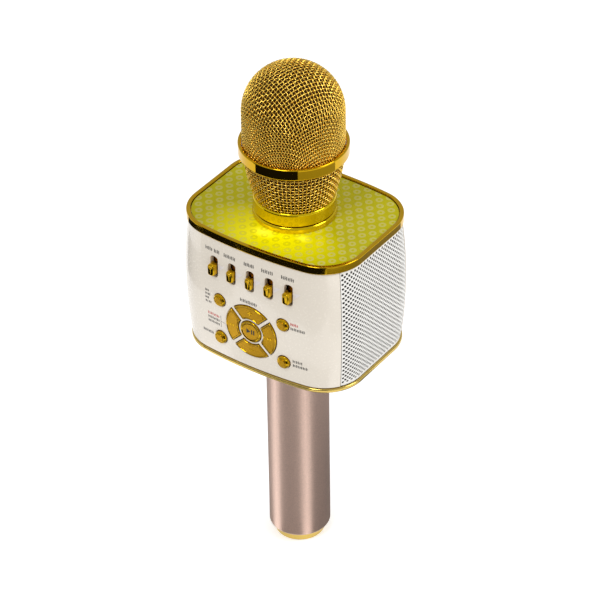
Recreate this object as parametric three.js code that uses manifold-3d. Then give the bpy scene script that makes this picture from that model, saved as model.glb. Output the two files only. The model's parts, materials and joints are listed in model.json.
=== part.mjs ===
// Karaoke microphone: a barrel-sided speaker box on a round handle, with a wire-mesh head
// that screws onto a collar on top of the box. Millimetres, +Z up, front panel towards -Y.
// The origin is the centre of the end cap's lower face, so the microphone stands on Z = 0.
import * as THREE from 'three';
import { mergeVertices } from 'three/addons/utils/BufferGeometryUtils.js';
import Module from 'manifold-3d';

const wasm = await Module();
wasm.setup();

// ---------------------------------------------------------------- driving dimensions

// Heights on the microphone's own axis
const BOX_TOP = 196;
const BOX_HEIGHT = 74;
const BOX_BOTTOM = BOX_TOP - BOX_HEIGHT;
const HEAD_TOP = 276;

// Plan of the box: bowed front and back, straight flanks, round corners
const BOX_HALF_WIDTH = 47.6;
const BOX_FRONT = 37.5;
const BOW_RADIUS = 230;
const CORNER_RADIUS = 21;
const BARREL_SIDE = 2.5;
const BARREL_FRONT = 1;
const WALL = 2.2;
const SEAM_ANGLE = THREE.MathUtils.degToRad(35);
const SEAM_GAP = 0.3;
const GRILLE_INSET = 0.5;
const GRILLE_SHEET = 0.8;

// Trims and lens
const TRIM_HALF_HEIGHT = 2.15;
const TRIM_HALF_WIDTH = 1.2;
const TRIM_PROUD = 0.75;
const TRIM_LIP = -1.3;
const TRIM_LIP_DROP = 1.1;
const TRIM_LEDGE = -6;
const LEDGE_THICKNESS = 1;
const LENS_OFFSET = -1.6;
const LENS_DROP = 0.8;
const LENS_THICKNESS = 2.2;
const BOTTOM_TRIM_HEIGHT = 2.2;
const BOTTOM_GAP = 0.6;

// Inner frame
const FRAME_OUT = -3.2;
const FRAME_IN = -4.8;
const DECK = 1.6;
const RAIL_BACK = 26.9;
const RAIL_FRONT = 28.9;

// Controls on the front panel
const FADER_PITCH = 10.75;
const FADER_Z = BOX_TOP - 20.1;
const FADER_REST_DROP = 0.8;
const SLOT_WIDTH = 4.4;
const SLOT_LENGTH = 11.4;
const SLOT_CORNER = 1.6;
const KNOB_WIDTH = 3.8;
const KNOB_LENGTH = 6.2;
const KNOB_EDGE = 0.4;
const SKIRT_LENGTH = 16.8;
const KNOB_FACE = -40.2;
const PAD_CENTRE_Z = BOX_TOP - 49.2;
const PAD_OUTER = 14.5;
const PAD_INNER = 7.4;
const PAD_HALF_RIB = 1.2;
const PAD_FACE = -39;
const PLAY_RADIUS = 5.8;
const ROUND_X = 18.3;
const ROUND_DZ = 11;
const ROUND_RADIUS = 3.25;
const CLEARANCE = 0.3;
const FLANGE_FRONT = -33.9;
const FLANGE_THICKNESS = 0.8;
const POST_TIP = -32.5;
const BOARD_FRONT = -30.6;
const BOARD_THICKNESS = 1.6;

// Head and neck
const RING_RADIUS = 20.15;
const BAND_RADIUS = 26.5;
const BAND_BOTTOM = BOX_TOP + 33.1;
const BAND_TOP = BOX_TOP + 39.1;
const DOME_RADIUS = 24.6;
const MESH_SHELL = 1.3;
const SPIGOT_RADIUS = 17.2;
const NECK_BORE = 14.5;
const RING_BOTTOM = BOX_TOP + 2.8;
const RING_TOP = BOX_TOP + 10;

// Handle
const HANDLE_RADIUS = 15.55;
const HANDLE_BORE = 13.9;
const HANDLE_BOTTOM = 5;
const CORE_RADIUS = 13.4;
const CORE_BORE = 11.6;
const CELL_RADIUS = 9.2;
const CELL_LENGTH = 65;

// Speakers, one behind each side grille
const SPEAKER_Z = 160;
const SPEAKER_FACE = 40.2;
const SPEAKER_RADIUS = 23;
const SPEAKER_OPENING = 20.2;

// Rear panel
const PORT_Z = 139;
const SCREW_X = 26;
const SCREW_SEAT = 34.9;
const SCREW_HEIGHTS = [130, 186.4];

const ROUND = 32;
const HALF_PI = Math.PI / 2;

// ---------------------------------------------------------------- materials

function finish(color, roughness, metalness) {
  return new THREE.MeshStandardMaterial({ color, roughness, metalness });
}

const LOOKS = {
  pearl: () => finish(0xefe9e0, 0.18, 0),
  goldChrome: () => finish(0xd6a63a, 0.12, 1),
  goldMesh: () => finish(0xb98f3e, 0.35, 1),
  roseGold: () => finish(0xb4978a, 0.35, 0.9),
  whiteMetal: () => finish(0xe9e8e4, 0.4, 0.2),
  lens: () => finish(0xd8d52a, 0.15, 0),
  black: () => finish(0x1b1b1d, 0.55, 0),
  foam: () => finish(0x2a2a2a, 0.95, 0),
  board: () => finish(0x1f5a36, 0.5, 0),
  steel: () => finish(0xb8babd, 0.3, 1),
  cone: () => finish(0x222222, 0.85, 0),
  ferrite: () => finish(0x3a3a3c, 0.7, 0.3),
  cell: () => finish(0x3f7fb0, 0.4, 0),
};

// ---------------------------------------------------------------- geometry helpers

// Merges shared vertices, drops slivers and turns the faces outward.
function closed(geometry) {
  const bare = geometry.clone();
  bare.deleteAttribute('normal');
  bare.deleteAttribute('uv');
  const merged = mergeVertices(bare, 1e-4);
  const position = merged.getAttribute('position');
  const index = merged.getIndex().array;
  const corners = [0, 1, 2].map(() => new THREE.Vector3());
  const kept = [];
  let volume = 0;
  for (let i = 0; i < index.length; i += 3) {
    const face = [index[i], index[i + 1], index[i + 2]];
    if (new Set(face).size === 3) {
      corners.forEach((corner, k) => corner.fromBufferAttribute(position, face[k]));
      volume += corners[0].dot(corners[1].clone().cross(corners[2]));
      kept.push(face);
    }
  }
  const ordered = volume < 0 ? kept.map(([a, b, c]) => [a, c, b]) : kept;
  merged.setIndex(ordered.flat());
  merged.computeVertexNormals();
  return merged;
}

function toSolid(geometry) {
  const shape = closed(geometry);
  const vertProperties = new Float32Array(shape.getAttribute('position').array);
  const triVerts = new Uint32Array(shape.getIndex().array);
  return new wasm.Manifold(new wasm.Mesh({ numProp: 3, vertProperties, triVerts }));
}

function fromSolid(solid) {
  const { vertProperties, triVerts } = solid.getMesh();
  const geometry = new THREE.BufferGeometry();
  geometry.setAttribute('position', new THREE.BufferAttribute(vertProperties, 3));
  geometry.setIndex(new THREE.BufferAttribute(triVerts, 1));
  geometry.computeVertexNormals();
  return geometry;
}

function joined(...geometries) {
  return fromSolid(geometries.map(toSolid).reduce((whole, next) => whole.add(next)));
}

function cut(geometry, ...tools) {
  const whole = tools.map(toSolid).reduce((rest, tool) => rest.subtract(tool), toSolid(geometry));
  return fromSolid(whole);
}

function common(geometry, tool) {
  return fromSolid(toSolid(geometry).intersect(toSolid(tool)));
}

// Points [u, v] on an arc, from one angle to another in degrees.
function arc(u, v, radius, from, to, steps) {
  const points = [];
  for (let i = 0; i <= steps; i += 1) {
    const angle = THREE.MathUtils.degToRad(from + ((to - from) * i) / steps);
    points.push([u + radius * Math.cos(angle), v + radius * Math.sin(angle)]);
  }
  return points;
}

function ring(profile) {
  return [...profile, profile[0]];
}

// Turned piece on the Z axis, from a profile of [radius, height].
function turned(profile, segments = ROUND) {
  const points = profile.map(([radius, height]) => new THREE.Vector2(radius, height));
  const geometry = new THREE.LatheGeometry(points, segments);
  geometry.rotateX(HALF_PI);
  return closed(geometry);
}

function block(lengthX, lengthY, lengthZ, x, y, z) {
  const geometry = new THREE.BoxGeometry(lengthX, lengthY, lengthZ);
  geometry.translate(x, y, z);
  return geometry;
}

function plate(shape, bottom, top) {
  const geometry = new THREE.ExtrudeGeometry(shape, { depth: top - bottom, bevelEnabled: false });
  geometry.translate(0, 0, bottom);
  return geometry;
}

// Prism along Y: the shape's x and y become the microphone's x and z.
function frontPrism(shape, frontY, backY, curveSegments = 3) {
  const options = { depth: backY - frontY, bevelEnabled: false, curveSegments };
  const geometry = new THREE.ExtrudeGeometry(shape, options);
  geometry.rotateX(HALF_PI);
  geometry.translate(0, backY, 0);
  return geometry;
}

function moved(geometry, x, y, z) {
  return geometry.clone().translate(x, y, z);
}

function polygon(points) {
  return new THREE.Shape(points.map(([u, v]) => new THREE.Vector2(u, v)));
}

function circleShape(radius) {
  const shape = new THREE.Shape();
  shape.absarc(0, 0, radius, 0, 2 * Math.PI);
  return shape;
}

function rectangle(width, height) {
  const u = width / 2;
  const v = height / 2;
  return polygon([[-u, -v], [u, -v], [u, v], [-u, v]]);
}

function roundedRectangle(width, length, radius) {
  const u = width / 2 - radius;
  const v = length / 2 - radius;
  return polygon([
    ...arc(u, v, radius, 0, 90, 3),
    ...arc(-u, v, radius, 90, 180, 3),
    ...arc(-u, -v, radius, 180, 270, 3),
    ...arc(u, -v, radius, 270, 360, 3),
  ]);
}

// Quarter of a ring, centred upwards, with sides parallel to the diagonals.
function quadrant(inner, outer, halfRib) {
  const outerTurn = THREE.MathUtils.radToDeg(Math.asin(halfRib / outer));
  const innerTurn = THREE.MathUtils.radToDeg(Math.asin(halfRib / inner));
  const rim = arc(0, 0, outer, 45 + outerTurn, 135 - outerTurn, 8);
  const hub = arc(0, 0, inner, 135 - innerTurn, 45 + innerTurn, 5);
  return polygon([...rim, ...hub]);
}

// ---------------------------------------------------------------- plan of the box

// Points with outward normals, counter-clockwise from the middle of the front.
function boxPlan() {
  const cornerX = BOX_HALF_WIDTH - CORNER_RADIUS;
  const bowCentre = BOW_RADIUS - BOX_FRONT;
  const cornerY = Math.sqrt((BOW_RADIUS - CORNER_RADIUS) ** 2 - cornerX ** 2) - bowCentre;
  const bowTurn = Math.atan2(cornerX, bowCentre + cornerY);
  const bowSteps = 3;
  const cornerSteps = 6;
  const quarter = [];
  for (let i = 0; i < bowSteps; i += 1) {
    const turn = (bowTurn * i) / bowSteps;
    const nx = Math.sin(turn);
    const ny = -Math.cos(turn);
    quarter.push({ x: BOW_RADIUS * nx, y: bowCentre + BOW_RADIUS * ny, nx, ny });
  }
  for (let i = 0; i <= cornerSteps; i += 1) {
    const turn = bowTurn + ((HALF_PI - bowTurn) * i) / cornerSteps;
    const nx = Math.sin(turn);
    const ny = -Math.cos(turn);
    quarter.push({ x: cornerX + CORNER_RADIUS * nx, y: -cornerY + CORNER_RADIUS * ny, nx, ny });
  }
  const flankMiddle = { x: BOX_HALF_WIDTH, y: 0, nx: 1, ny: 0 };
  const mirrored = ({ x, y, nx, ny }, sx, sy) => ({ x: sx * x, y: sy * y, nx: sx * nx, ny: sy * ny });
  const rear = quarter.map((point) => mirrored(point, 1, -1)).reverse();
  const right = [...quarter, flankMiddle, ...rear];
  const left = right.slice(1, -1).map((point) => mirrored(point, -1, 1)).reverse();
  return { points: [...right, ...left], cornerX, cornerY };
}

const PLAN = boxPlan();
const WALL_BOTTOM = BOX_BOTTOM + BOTTOM_TRIM_HEIGHT + BOTTOM_GAP;
const WALL_TOP = BOX_TOP - 2 * TRIM_HALF_HEIGHT - CLEARANCE;
const WALL_MIDDLE = (WALL_TOP + WALL_BOTTOM) / 2;

// How far the barrel wall swells beyond its own edge at a height, for a given normal.
function swell(height, { nx, ny }) {
  const along = (height - WALL_MIDDLE) / ((WALL_TOP - WALL_BOTTOM) / 2);
  return Math.max(0, 1 - along * along) * (BARREL_SIDE * nx * nx + BARREL_FRONT * ny * ny);
}

// A lathe bent from a circle to the box's plan. The profile is [offset from the plan, height].
function bent(profile, barrel = false) {
  const points = profile.map(([, height]) => new THREE.Vector2(1, height));
  const steps = PLAN.points.length;
  const geometry = new THREE.LatheGeometry(points, steps);
  const position = geometry.getAttribute('position');
  for (let i = 0; i <= steps; i += 1) {
    const spot = PLAN.points[i % steps];
    profile.forEach(([offset, height], j) => {
      const reach = offset + (barrel ? swell(height, spot) : 0);
      const index = i * profile.length + j;
      position.setXYZ(index, spot.x + reach * spot.nx, spot.y + reach * spot.ny, height);
    });
  }
  return closed(geometry);
}

function planShape(offset) {
  return polygon(PLAN.points.map(({ x, y, nx, ny }) => [x + offset * nx, y + offset * ny]));
}

function planShapeWithHole(offset, radius) {
  const shape = planShape(offset);
  const hole = new THREE.Path();
  hole.absarc(0, 0, radius, 0, 2 * Math.PI, true);
  shape.holes.push(hole);
  return shape;
}

// Barrel wall between two offsets, as a closed band round the whole box.
function barrelWall(outer, inner) {
  const levels = 6;
  const heights = [];
  for (let i = 0; i <= levels; i += 1) {
    heights.push(WALL_BOTTOM + ((WALL_TOP - WALL_BOTTOM) * i) / levels);
  }
  const outside = heights.map((height) => [outer, height]);
  const inside = heights.filter((_, i) => i % 2 === 0).map((height) => [inner, height]).reverse();
  return bent(ring([...outside, ...inside]), true);
}

// Prism holding the front (side = -1) or rear (side = 1) part of the wall, up to the corner seams.
function seamPrism(side) {
  const reach = 45;
  const far = 70;
  const dx = reach * Math.cos(SEAM_ANGLE);
  const dy = reach * Math.sin(SEAM_ANGLE);
  const { cornerX, cornerY } = PLAN;
  const outline = [
    [cornerX, side * cornerY],
    [cornerX + dx, side * (cornerY + dy)],
    [cornerX + dx, side * far],
    [-cornerX - dx, side * far],
    [-cornerX - dx, side * (cornerY + dy)],
    [-cornerX, side * cornerY],
  ];
  return plate(polygon(outline), BOX_BOTTOM, BOX_TOP);
}

// Prism holding one flank of the wall, drawn back from the seams by the seam gap.
function flankPrism(side) {
  const reach = 45;
  const { cornerX, cornerY } = PLAN;
  const back = SEAM_GAP / Math.cos(SEAM_ANGLE);
  const dx = reach * Math.cos(SEAM_ANGLE);
  const dy = reach * Math.sin(SEAM_ANGLE);
  const outline = [
    [side * cornerX, -cornerY + back],
    [side * (cornerX + dx), -cornerY - dy + back],
    [side * (cornerX + dx), cornerY + dy - back],
    [side * cornerX, cornerY - back],
  ];
  return plate(polygon(outline), BOX_BOTTOM, BOX_TOP);
}

// ---------------------------------------------------------------- assembly

const microphone = new THREE.Group();

function add(name, geometry, look, x = 0, y = 0, z = 0) {
  const mesh = new THREE.Mesh(geometry, LOOKS[look]());
  mesh.name = name;
  mesh.position.set(x, y, z);
  microphone.add(mesh);
  return mesh;
}

// ---------------------------------------------------------------- head

function makeHead() {
  const domeCentre = HEAD_TOP - DOME_RADIUS;
  const seat = (BAND_BOTTOM + BAND_TOP) / 2;
  const inner = DOME_RADIUS - MESH_SHELL;
  const dome = [
    [inner, seat + 0.1],
    [DOME_RADIUS, seat + 0.1],
    ...arc(0, domeCentre, DOME_RADIUS, 0, 90, 7),
    ...arc(0, domeCentre, inner, 90, 0, 5),
  ];
  add('grille_dome', turned(ring(dome)), 'goldMesh');

  const bandBore = DOME_RADIUS + CLEARANCE;
  const band = [
    [bandBore, BAND_BOTTOM],
    ...arc(BAND_RADIUS - 0.7, BAND_BOTTOM + 0.7, 0.7, -90, 0, 2),
    ...arc(BAND_RADIUS - 0.7, BAND_TOP - 0.7, 0.7, 0, 90, 2),
    [bandBore, BAND_TOP],
  ];
  add('grille_band', turned(ring(band)), 'goldChrome');

  const outer = [
    [RING_RADIUS - 0.25, RING_TOP + 0.1],
    [21.4, BOX_TOP + 15.5],
    [22.7, BOX_TOP + 21],
    [23.8, BOX_TOP + 27],
  ];
  const basketTop = [DOME_RADIUS - 0.1, seat - 0.1];
  const wall = [...outer, basketTop];
  const back = wall.map(([radius, height]) => [radius - MESH_SHELL, height]).reverse();
  add('grille_basket', turned(ring([...wall, ...back])), 'goldMesh');

  const threadBore = SPIGOT_RADIUS + 0.4;
  const thread = [
    [threadBore, RING_BOTTOM],
    [RING_RADIUS - 0.4, RING_BOTTOM],
    [RING_RADIUS, RING_BOTTOM + 0.4],
    [RING_RADIUS, RING_TOP - 0.6],
    [RING_RADIUS - 0.6, RING_TOP],
    [threadBore, RING_TOP],
  ];
  add('grille_thread_ring', turned(ring(thread)), 'goldChrome');

  const foamRadius = inner - 0.5;
  const foam = [
    [13, BOX_TOP + 13],
    [17, BOX_TOP + 13],
    [20.4, BOX_TOP + 21],
    [21.9, seat],
    [foamRadius, seat + 8],
    ...arc(0, domeCentre, foamRadius, 0, 90, 5),
    [0, domeCentre - 8],
    [13, domeCentre - 12],
  ];
  add('windscreen_foam', turned(ring(foam), 20), 'foam');
}

// ---------------------------------------------------------------- neck and capsule

function makeNeck() {
  const flangeBottom = BOX_TOP - 0.7;
  const flangeTop = BOX_TOP + 2.4;
  const deckTop = WALL_TOP - 1.4;
  const collar = [
    [NECK_BORE, deckTop + 0.1],
    [SPIGOT_RADIUS, deckTop + 0.1],
    [SPIGOT_RADIUS, flangeBottom],
    [RING_RADIUS + 0.15, flangeBottom],
    [RING_RADIUS + 0.35, flangeBottom + 0.6],
    [RING_RADIUS + 0.35, flangeTop - 0.5],
    [RING_RADIUS - 0.1, flangeTop],
    [SPIGOT_RADIUS, flangeTop],
    [SPIGOT_RADIUS, RING_TOP - 0.4],
    [NECK_BORE, RING_TOP - 0.4],
  ];
  add('neck_collar', turned(ring(collar)), 'goldChrome');

  const stemTop = BOX_TOP + 28;
  const mount = [
    [0, RING_BOTTOM],
    [NECK_BORE - 0.2, RING_BOTTOM],
    [NECK_BORE - 0.2, RING_BOTTOM + 2],
    [7.5, RING_BOTTOM + 3.5],
    [7.5, stemTop - 4],
    [10.2, stemTop],
    [0, stemTop],
  ];
  add('capsule_mount', turned(mount, 20), 'black');
  const capsule = [
    [0, stemTop + 0.1],
    [9.6, stemTop + 0.1],
    [9.6, stemTop + 9],
    [8.8, stemTop + 10],
    [0, stemTop + 10],
  ];
  add('mic_capsule', turned(capsule, 20), 'steel');
}

// ---------------------------------------------------------------- box shell

function makeTopTrim() {
  const bead = arc(0, 0, 1, 135, -90, 7).map(([u, v]) => [
    TRIM_PROUD - TRIM_HALF_WIDTH * (1 - u),
    BOX_TOP - TRIM_HALF_HEIGHT * (1 - v),
  ]);
  const base = BOX_TOP - 2 * TRIM_HALF_HEIGHT;
  const ledge = [
    [TRIM_LEDGE, base],
    [TRIM_LEDGE, base + LEDGE_THICKNESS],
    [TRIM_LIP, base + LEDGE_THICKNESS],
    [TRIM_LIP, BOX_TOP - TRIM_LIP_DROP],
  ];
  add('top_trim', bent(ring([...bead, ...ledge])), 'goldChrome');
}

function makeLensAndLights() {
  const lensTop = BOX_TOP - LENS_DROP;
  const lensShape = planShapeWithHole(LENS_OFFSET, SPIGOT_RADIUS + CLEARANCE);
  add('top_lens', plate(lensShape, lensTop - LENS_THICKNESS, lensTop), 'lens');

  const boardBottom = WALL_TOP - 1.1;
  const boardTop = boardBottom + 1.2;
  const board = plate(planShapeWithHole(TRIM_LEDGE - 0.5, SPIGOT_RADIUS + CLEARANCE), boardBottom, boardTop);
  const lamps = [];
  const lampCount = 12;
  for (let i = 0; i < lampCount; i += 1) {
    const turn = (2 * Math.PI * (i + 0.5)) / lampCount;
    const x = 33 * Math.cos(turn);
    const y = 24.5 * Math.sin(turn);
    lamps.push(block(3.4, 2.8, 0.9, x, y, boardTop + 0.35));
  }
  add('light_board', joined(board, ...lamps), 'board');
}

function slotHoles(frontY, backY) {
  const slot = frontPrism(roundedRectangle(SLOT_WIDTH, SLOT_LENGTH, SLOT_CORNER), frontY, backY);
  return [-2, -1, 0, 1, 2].map((i) => moved(slot, i * FADER_PITCH, 0, FADER_Z));
}

const ROUND_BUTTONS = [
  { name: 'button_mode', x: -ROUND_X, z: PAD_CENTRE_Z + ROUND_DZ },
  { name: 'button_tone', x: -ROUND_X, z: PAD_CENTRE_Z - ROUND_DZ },
  { name: 'button_record', x: ROUND_X, z: PAD_CENTRE_Z + ROUND_DZ },
  { name: 'button_vocal', x: ROUND_X, z: PAD_CENTRE_Z - ROUND_DZ },
];

const PADS = [
  { name: 'pad_up', turn: 0 },
  { name: 'pad_left', turn: 90 },
  { name: 'pad_down', turn: 180 },
  { name: 'pad_right', turn: 270 },
];

// A pad's outline turned about the Y axis to its own quarter of the ring.
function padPrism(inner, outer, halfRib, frontY, backY, turn) {
  const prism = frontPrism(quadrant(inner, outer, halfRib), frontY, backY);
  prism.rotateY(-THREE.MathUtils.degToRad(turn));
  return prism;
}

function makeFrontPanel() {
  const wall = common(barrelWall(0, -WALL), seamPrism(-1));
  const outside = -60;
  const inside = -30;
  const holes = slotHoles(outside, inside);
  ROUND_BUTTONS.forEach(({ x, z }) => {
    const bore = frontPrism(circleShape(ROUND_RADIUS + CLEARANCE), outside, inside, 8);
    holes.push(moved(bore, x, 0, z));
  });
  PADS.forEach(({ turn }) => {
    const inner = PAD_INNER - CLEARANCE;
    const outer = PAD_OUTER + CLEARANCE;
    const gap = padPrism(inner, outer, PAD_HALF_RIB - CLEARANCE, outside, inside, turn);
    holes.push(moved(gap, 0, 0, PAD_CENTRE_Z));
  });
  const centre = frontPrism(circleShape(PLAY_RADIUS + CLEARANCE), outside, inside, 10);
  holes.push(moved(centre, 0, 0, PAD_CENTRE_Z));
  add('front_panel', cut(wall, ...holes), 'pearl');
}

function makeSideGrilles() {
  const sheet = barrelWall(-GRILLE_INSET, -GRILLE_INSET - GRILLE_SHEET);
  add('side_grille_right', common(sheet, flankPrism(1)), 'whiteMetal');
  add('side_grille_left', common(sheet, flankPrism(-1)), 'whiteMetal');
}

function makeBottom() {
  const trimTop = BOX_BOTTOM + BOTTOM_TRIM_HEIGHT;
  const trim = [
    [-2.3, BOX_BOTTOM],
    [-0.3, BOX_BOTTOM],
    [0.3, BOX_BOTTOM + 0.6],
    [0.3, trimTop - 0.3],
    [0, trimTop],
    [-2.3, trimTop],
  ];
  add('bottom_trim', bent(ring(trim)), 'goldChrome');
  const floor = planShapeWithHole(-2.6, HANDLE_RADIUS + CLEARANCE);
  add('bottom_plate', plate(floor, BOX_BOTTOM + 0.2, trimTop + 0.2), 'pearl');
}

// ---------------------------------------------------------------- rear panel and its sockets

const USB = { x: -15, width: 13.2, height: 5.8 };
const CARD = { x: 0, width: 12.4, height: 2 };
const AUX = { x: 12, radius: 3 };
const CHARGE = { x: 21.5, width: 8, height: 3.2 };
const SOCKET_FRONT = 36.2;
const PORT_BOARD_Y = 27.5;

function rearPrism(shape, x, z, nearY, farY, curveSegments = 6) {
  return moved(frontPrism(shape, nearY, farY, curveSegments), x, 0, z);
}

function makeRearPanel() {
  const wall = common(barrelWall(0, -WALL), seamPrism(1));
  const nearY = 30;
  const farY = 60;
  const holes = [USB, CARD, CHARGE].map(({ x, width, height }) => {
    const mouth = rectangle(width + 2 * CLEARANCE, height + 2 * CLEARANCE);
    return rearPrism(mouth, x, PORT_Z, nearY, farY);
  });
  holes.push(rearPrism(circleShape(AUX.radius + CLEARANCE), AUX.x, PORT_Z, nearY, farY));
  SCREW_HEIGHTS.forEach((z) => {
    [-SCREW_X, SCREW_X].forEach((x) => {
      holes.push(rearPrism(circleShape(1.7), x, z, nearY, farY, 4));
      holes.push(rearPrism(circleShape(3.1), x, z, SCREW_SEAT, farY, 5));
    });
  });
  add('rear_panel', cut(wall, ...holes), 'pearl');
}

function makeSockets() {
  const depth = SOCKET_FRONT - PORT_BOARD_Y - BOARD_THICKNESS;
  const nearY = PORT_BOARD_Y + BOARD_THICKNESS + 0.1;
  const board = frontPrism(rectangle(50, 14), PORT_BOARD_Y, PORT_BOARD_Y + BOARD_THICKNESS);
  add('port_board', board, 'board', 2, 0, PORT_Z);

  const shell = frontPrism(rectangle(USB.width, USB.height), nearY, SOCKET_FRONT);
  const mouth = frontPrism(rectangle(USB.width - 1, USB.height - 1), nearY + 1.2, SOCKET_FRONT + 1);
  const tongue = block(USB.width - 2.4, depth - 2, 1.9, 0, nearY + depth / 2 - 0.5, 0.9);
  add('usb_socket', joined(cut(shell, mouth), tongue), 'steel', USB.x, 0, PORT_Z);

  const reader = frontPrism(rectangle(CARD.width, CARD.height), nearY, SOCKET_FRONT);
  const slit = frontPrism(rectangle(CARD.width - 1.2, 0.8), nearY + 1.2, SOCKET_FRONT + 1);
  add('card_slot', cut(reader, slit), 'steel', CARD.x, 0, PORT_Z);

  const barrel = frontPrism(circleShape(AUX.radius), nearY, SOCKET_FRONT, 6);
  const bore = frontPrism(circleShape(1.8), nearY + 1.2, SOCKET_FRONT + 1, 5);
  add('aux_jack', cut(barrel, bore), 'black', AUX.x, 0, PORT_Z);

  const small = frontPrism(rectangle(CHARGE.width, CHARGE.height), nearY, SOCKET_FRONT);
  const port = frontPrism(rectangle(CHARGE.width - 0.8, CHARGE.height - 0.8), nearY + 1.2, SOCKET_FRONT + 1);
  const blade = block(CHARGE.width - 2.6, depth - 2, 0.7, 0, nearY + depth / 2 - 0.5, 0.5);
  add('charge_socket', joined(cut(small, port), blade), 'steel', CHARGE.x, 0, PORT_Z);
}

function makeScrews() {
  const screw = turned([[0, -7.6], [1.2, -6.8], [1.2, 0], [2.7, 0.1], [2.3, 0.8], [0, 0.95]], 10);
  let number = 1;
  SCREW_HEIGHTS.forEach((z) => {
    [-SCREW_X, SCREW_X].forEach((x) => {
      const mesh = add(`case_screw_${number}`, screw, 'steel', x, SCREW_SEAT + 0.1, z);
      mesh.rotation.x = -HALF_PI;
      number += 1;
    });
  });
}

// ---------------------------------------------------------------- inner frame and boards

function makeInnerFrame() {
  const deckTop = WALL_TOP - 1.4;
  const band = bent(ring([
    [FRAME_OUT, WALL_BOTTOM],
    [FRAME_OUT, deckTop],
    [FRAME_IN, deckTop],
    [FRAME_IN, WALL_BOTTOM],
  ]));
  const deck = plate(planShapeWithHole(FRAME_OUT - 0.4, NECK_BORE - 2), deckTop - DECK, deckTop);
  const depth = RAIL_FRONT - RAIL_BACK;
  const rails = [];
  [-1, 1].forEach((side) => {
    SCREW_HEIGHTS.forEach((z) => {
      rails.push(block(74, depth, 3.4, 0, (side * (RAIL_FRONT + RAIL_BACK)) / 2, z));
    });
  });
  const sill = 1.1;
  const windowHeight = deckTop - DECK - WALL_BOTTOM - 2 * sill;
  const windowZ = (deckTop - DECK + WALL_BOTTOM) / 2;
  const frontWindow = block(66, 30, windowHeight, 0, -45, windowZ);
  const rearWindow = block(60, 30, 20, 0, 45, PORT_Z);
  const baffle = turned(ring([
    [SPEAKER_OPENING - 1, SPEAKER_FACE + 0.1],
    [SPEAKER_RADIUS - 0.6, SPEAKER_FACE + 0.1],
    [SPEAKER_RADIUS - 0.6, BOX_HALF_WIDTH + FRAME_OUT - 0.2],
    [SPEAKER_OPENING - 1, BOX_HALF_WIDTH + FRAME_OUT - 0.2],
  ]), 16);
  const baffles = [1, -1].map((side) => baffle.clone().rotateY(side * HALF_PI).translate(0, 0, SPEAKER_Z));
  const flankWindow = new THREE.CylinderGeometry(SPEAKER_OPENING, SPEAKER_OPENING, 120, 16);
  flankWindow.rotateZ(HALF_PI);
  flankWindow.translate(0, 0, SPEAKER_Z);
  const tools = [frontWindow, rearWindow, flankWindow];
  SCREW_HEIGHTS.forEach((z) => {
    [-SCREW_X, SCREW_X].forEach((x) => {
      tools.push(rearPrism(circleShape(1.5), x, z, 20, 60, 3));
    });
  });
  const shell = cut(joined(band, ...baffles), ...tools.slice(0, 3));
  add('inner_frame', cut(joined(shell, deck, ...rails), ...tools.slice(3)), 'black');
}

function makeMainBoard() {
  const back = BOARD_FRONT + BOARD_THICKNESS;
  const switchFront = POST_TIP + 0.8;
  const boardShape = rectangle(62, 56);
  const board = moved(frontPrism(boardShape, BOARD_FRONT, back), 0, 0, WALL_MIDDLE);
  const switchAt = (x, z) => {
    const depth = BOARD_FRONT - switchFront + 0.2;
    return block(4.4, depth, 4.4, x, switchFront + depth / 2, z);
  };
  const switches = ROUND_BUTTONS.map(({ x, z }) => switchAt(x, z));
  PADS.forEach(({ turn }) => {
    const angle = THREE.MathUtils.degToRad(turn + 90);
    switches.push(switchAt(11 * Math.cos(angle), PAD_CENTRE_Z + 11 * Math.sin(angle)));
  });
  switches.push(switchAt(0, PAD_CENTRE_Z));
  add('main_board', joined(board, ...switches), 'board');
}

// ---------------------------------------------------------------- faders and buttons

function makeFaders() {
  const flangeBack = FLANGE_FRONT + FLANGE_THICKNESS;
  const potFront = flangeBack + 0.2;
  const grooveBack = potFront + 1.6;
  const edge = KNOB_EDGE;
  const corner = SLOT_CORNER - CLEARANCE - edge;
  const top = roundedRectangle(KNOB_WIDTH - 2 * edge, KNOB_LENGTH - 2 * edge, corner);
  const cap = new THREE.ExtrudeGeometry(top, {
    depth: FLANGE_FRONT - KNOB_FACE - edge,
    bevelThickness: edge,
    bevelSize: edge,
    bevelSegments: 2,
  });
  cap.rotateX(HALF_PI);
  cap.translate(0, FLANGE_FRONT, 0);
  const skirt = frontPrism(rectangle(5.8, SKIRT_LENGTH), FLANGE_FRONT, flangeBack);
  const lever = block(1.2, 1.8, 2.2, 0, flangeBack + 0.5, 0);
  const knob = joined(cap, skirt, lever);
  const pot = cut(
    frontPrism(rectangle(7, 17), potFront, BOARD_FRONT - 0.1),
    frontPrism(rectangle(1.8, 10), potFront - 1, grooveBack),
  );
  for (let i = 0; i < 5; i += 1) {
    const x = (i - 2) * FADER_PITCH;
    add(`fader_knob_${i + 1}`, knob, 'goldChrome', x, 0, FADER_Z - FADER_REST_DROP);
    add(`fader_pot_${i + 1}`, pot, 'steel', x, 0, FADER_Z);
  }
}

function makeRoundButtons() {
  const flangeBack = FLANGE_FRONT + FLANGE_THICKNESS;
  const face = 40;
  const profile = [
    [0, -POST_TIP],
    [1.2, -POST_TIP],
    [1.2, -flangeBack],
    [ROUND_RADIUS + 1.15, -flangeBack],
    [ROUND_RADIUS + 1.15, -FLANGE_FRONT],
    [ROUND_RADIUS, -FLANGE_FRONT],
    [ROUND_RADIUS, face - 1.6],
    [ROUND_RADIUS - 0.9, face - 0.6],
    [ROUND_RADIUS - 1.5, face - 0.7],
    [0, face - 0.3],
  ];
  const button = turned(profile, 16);
  ROUND_BUTTONS.forEach(({ name, x, z }) => {
    const mesh = add(name, button, 'goldChrome', x, 0, z);
    mesh.rotation.x = HALF_PI;
  });
}

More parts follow.
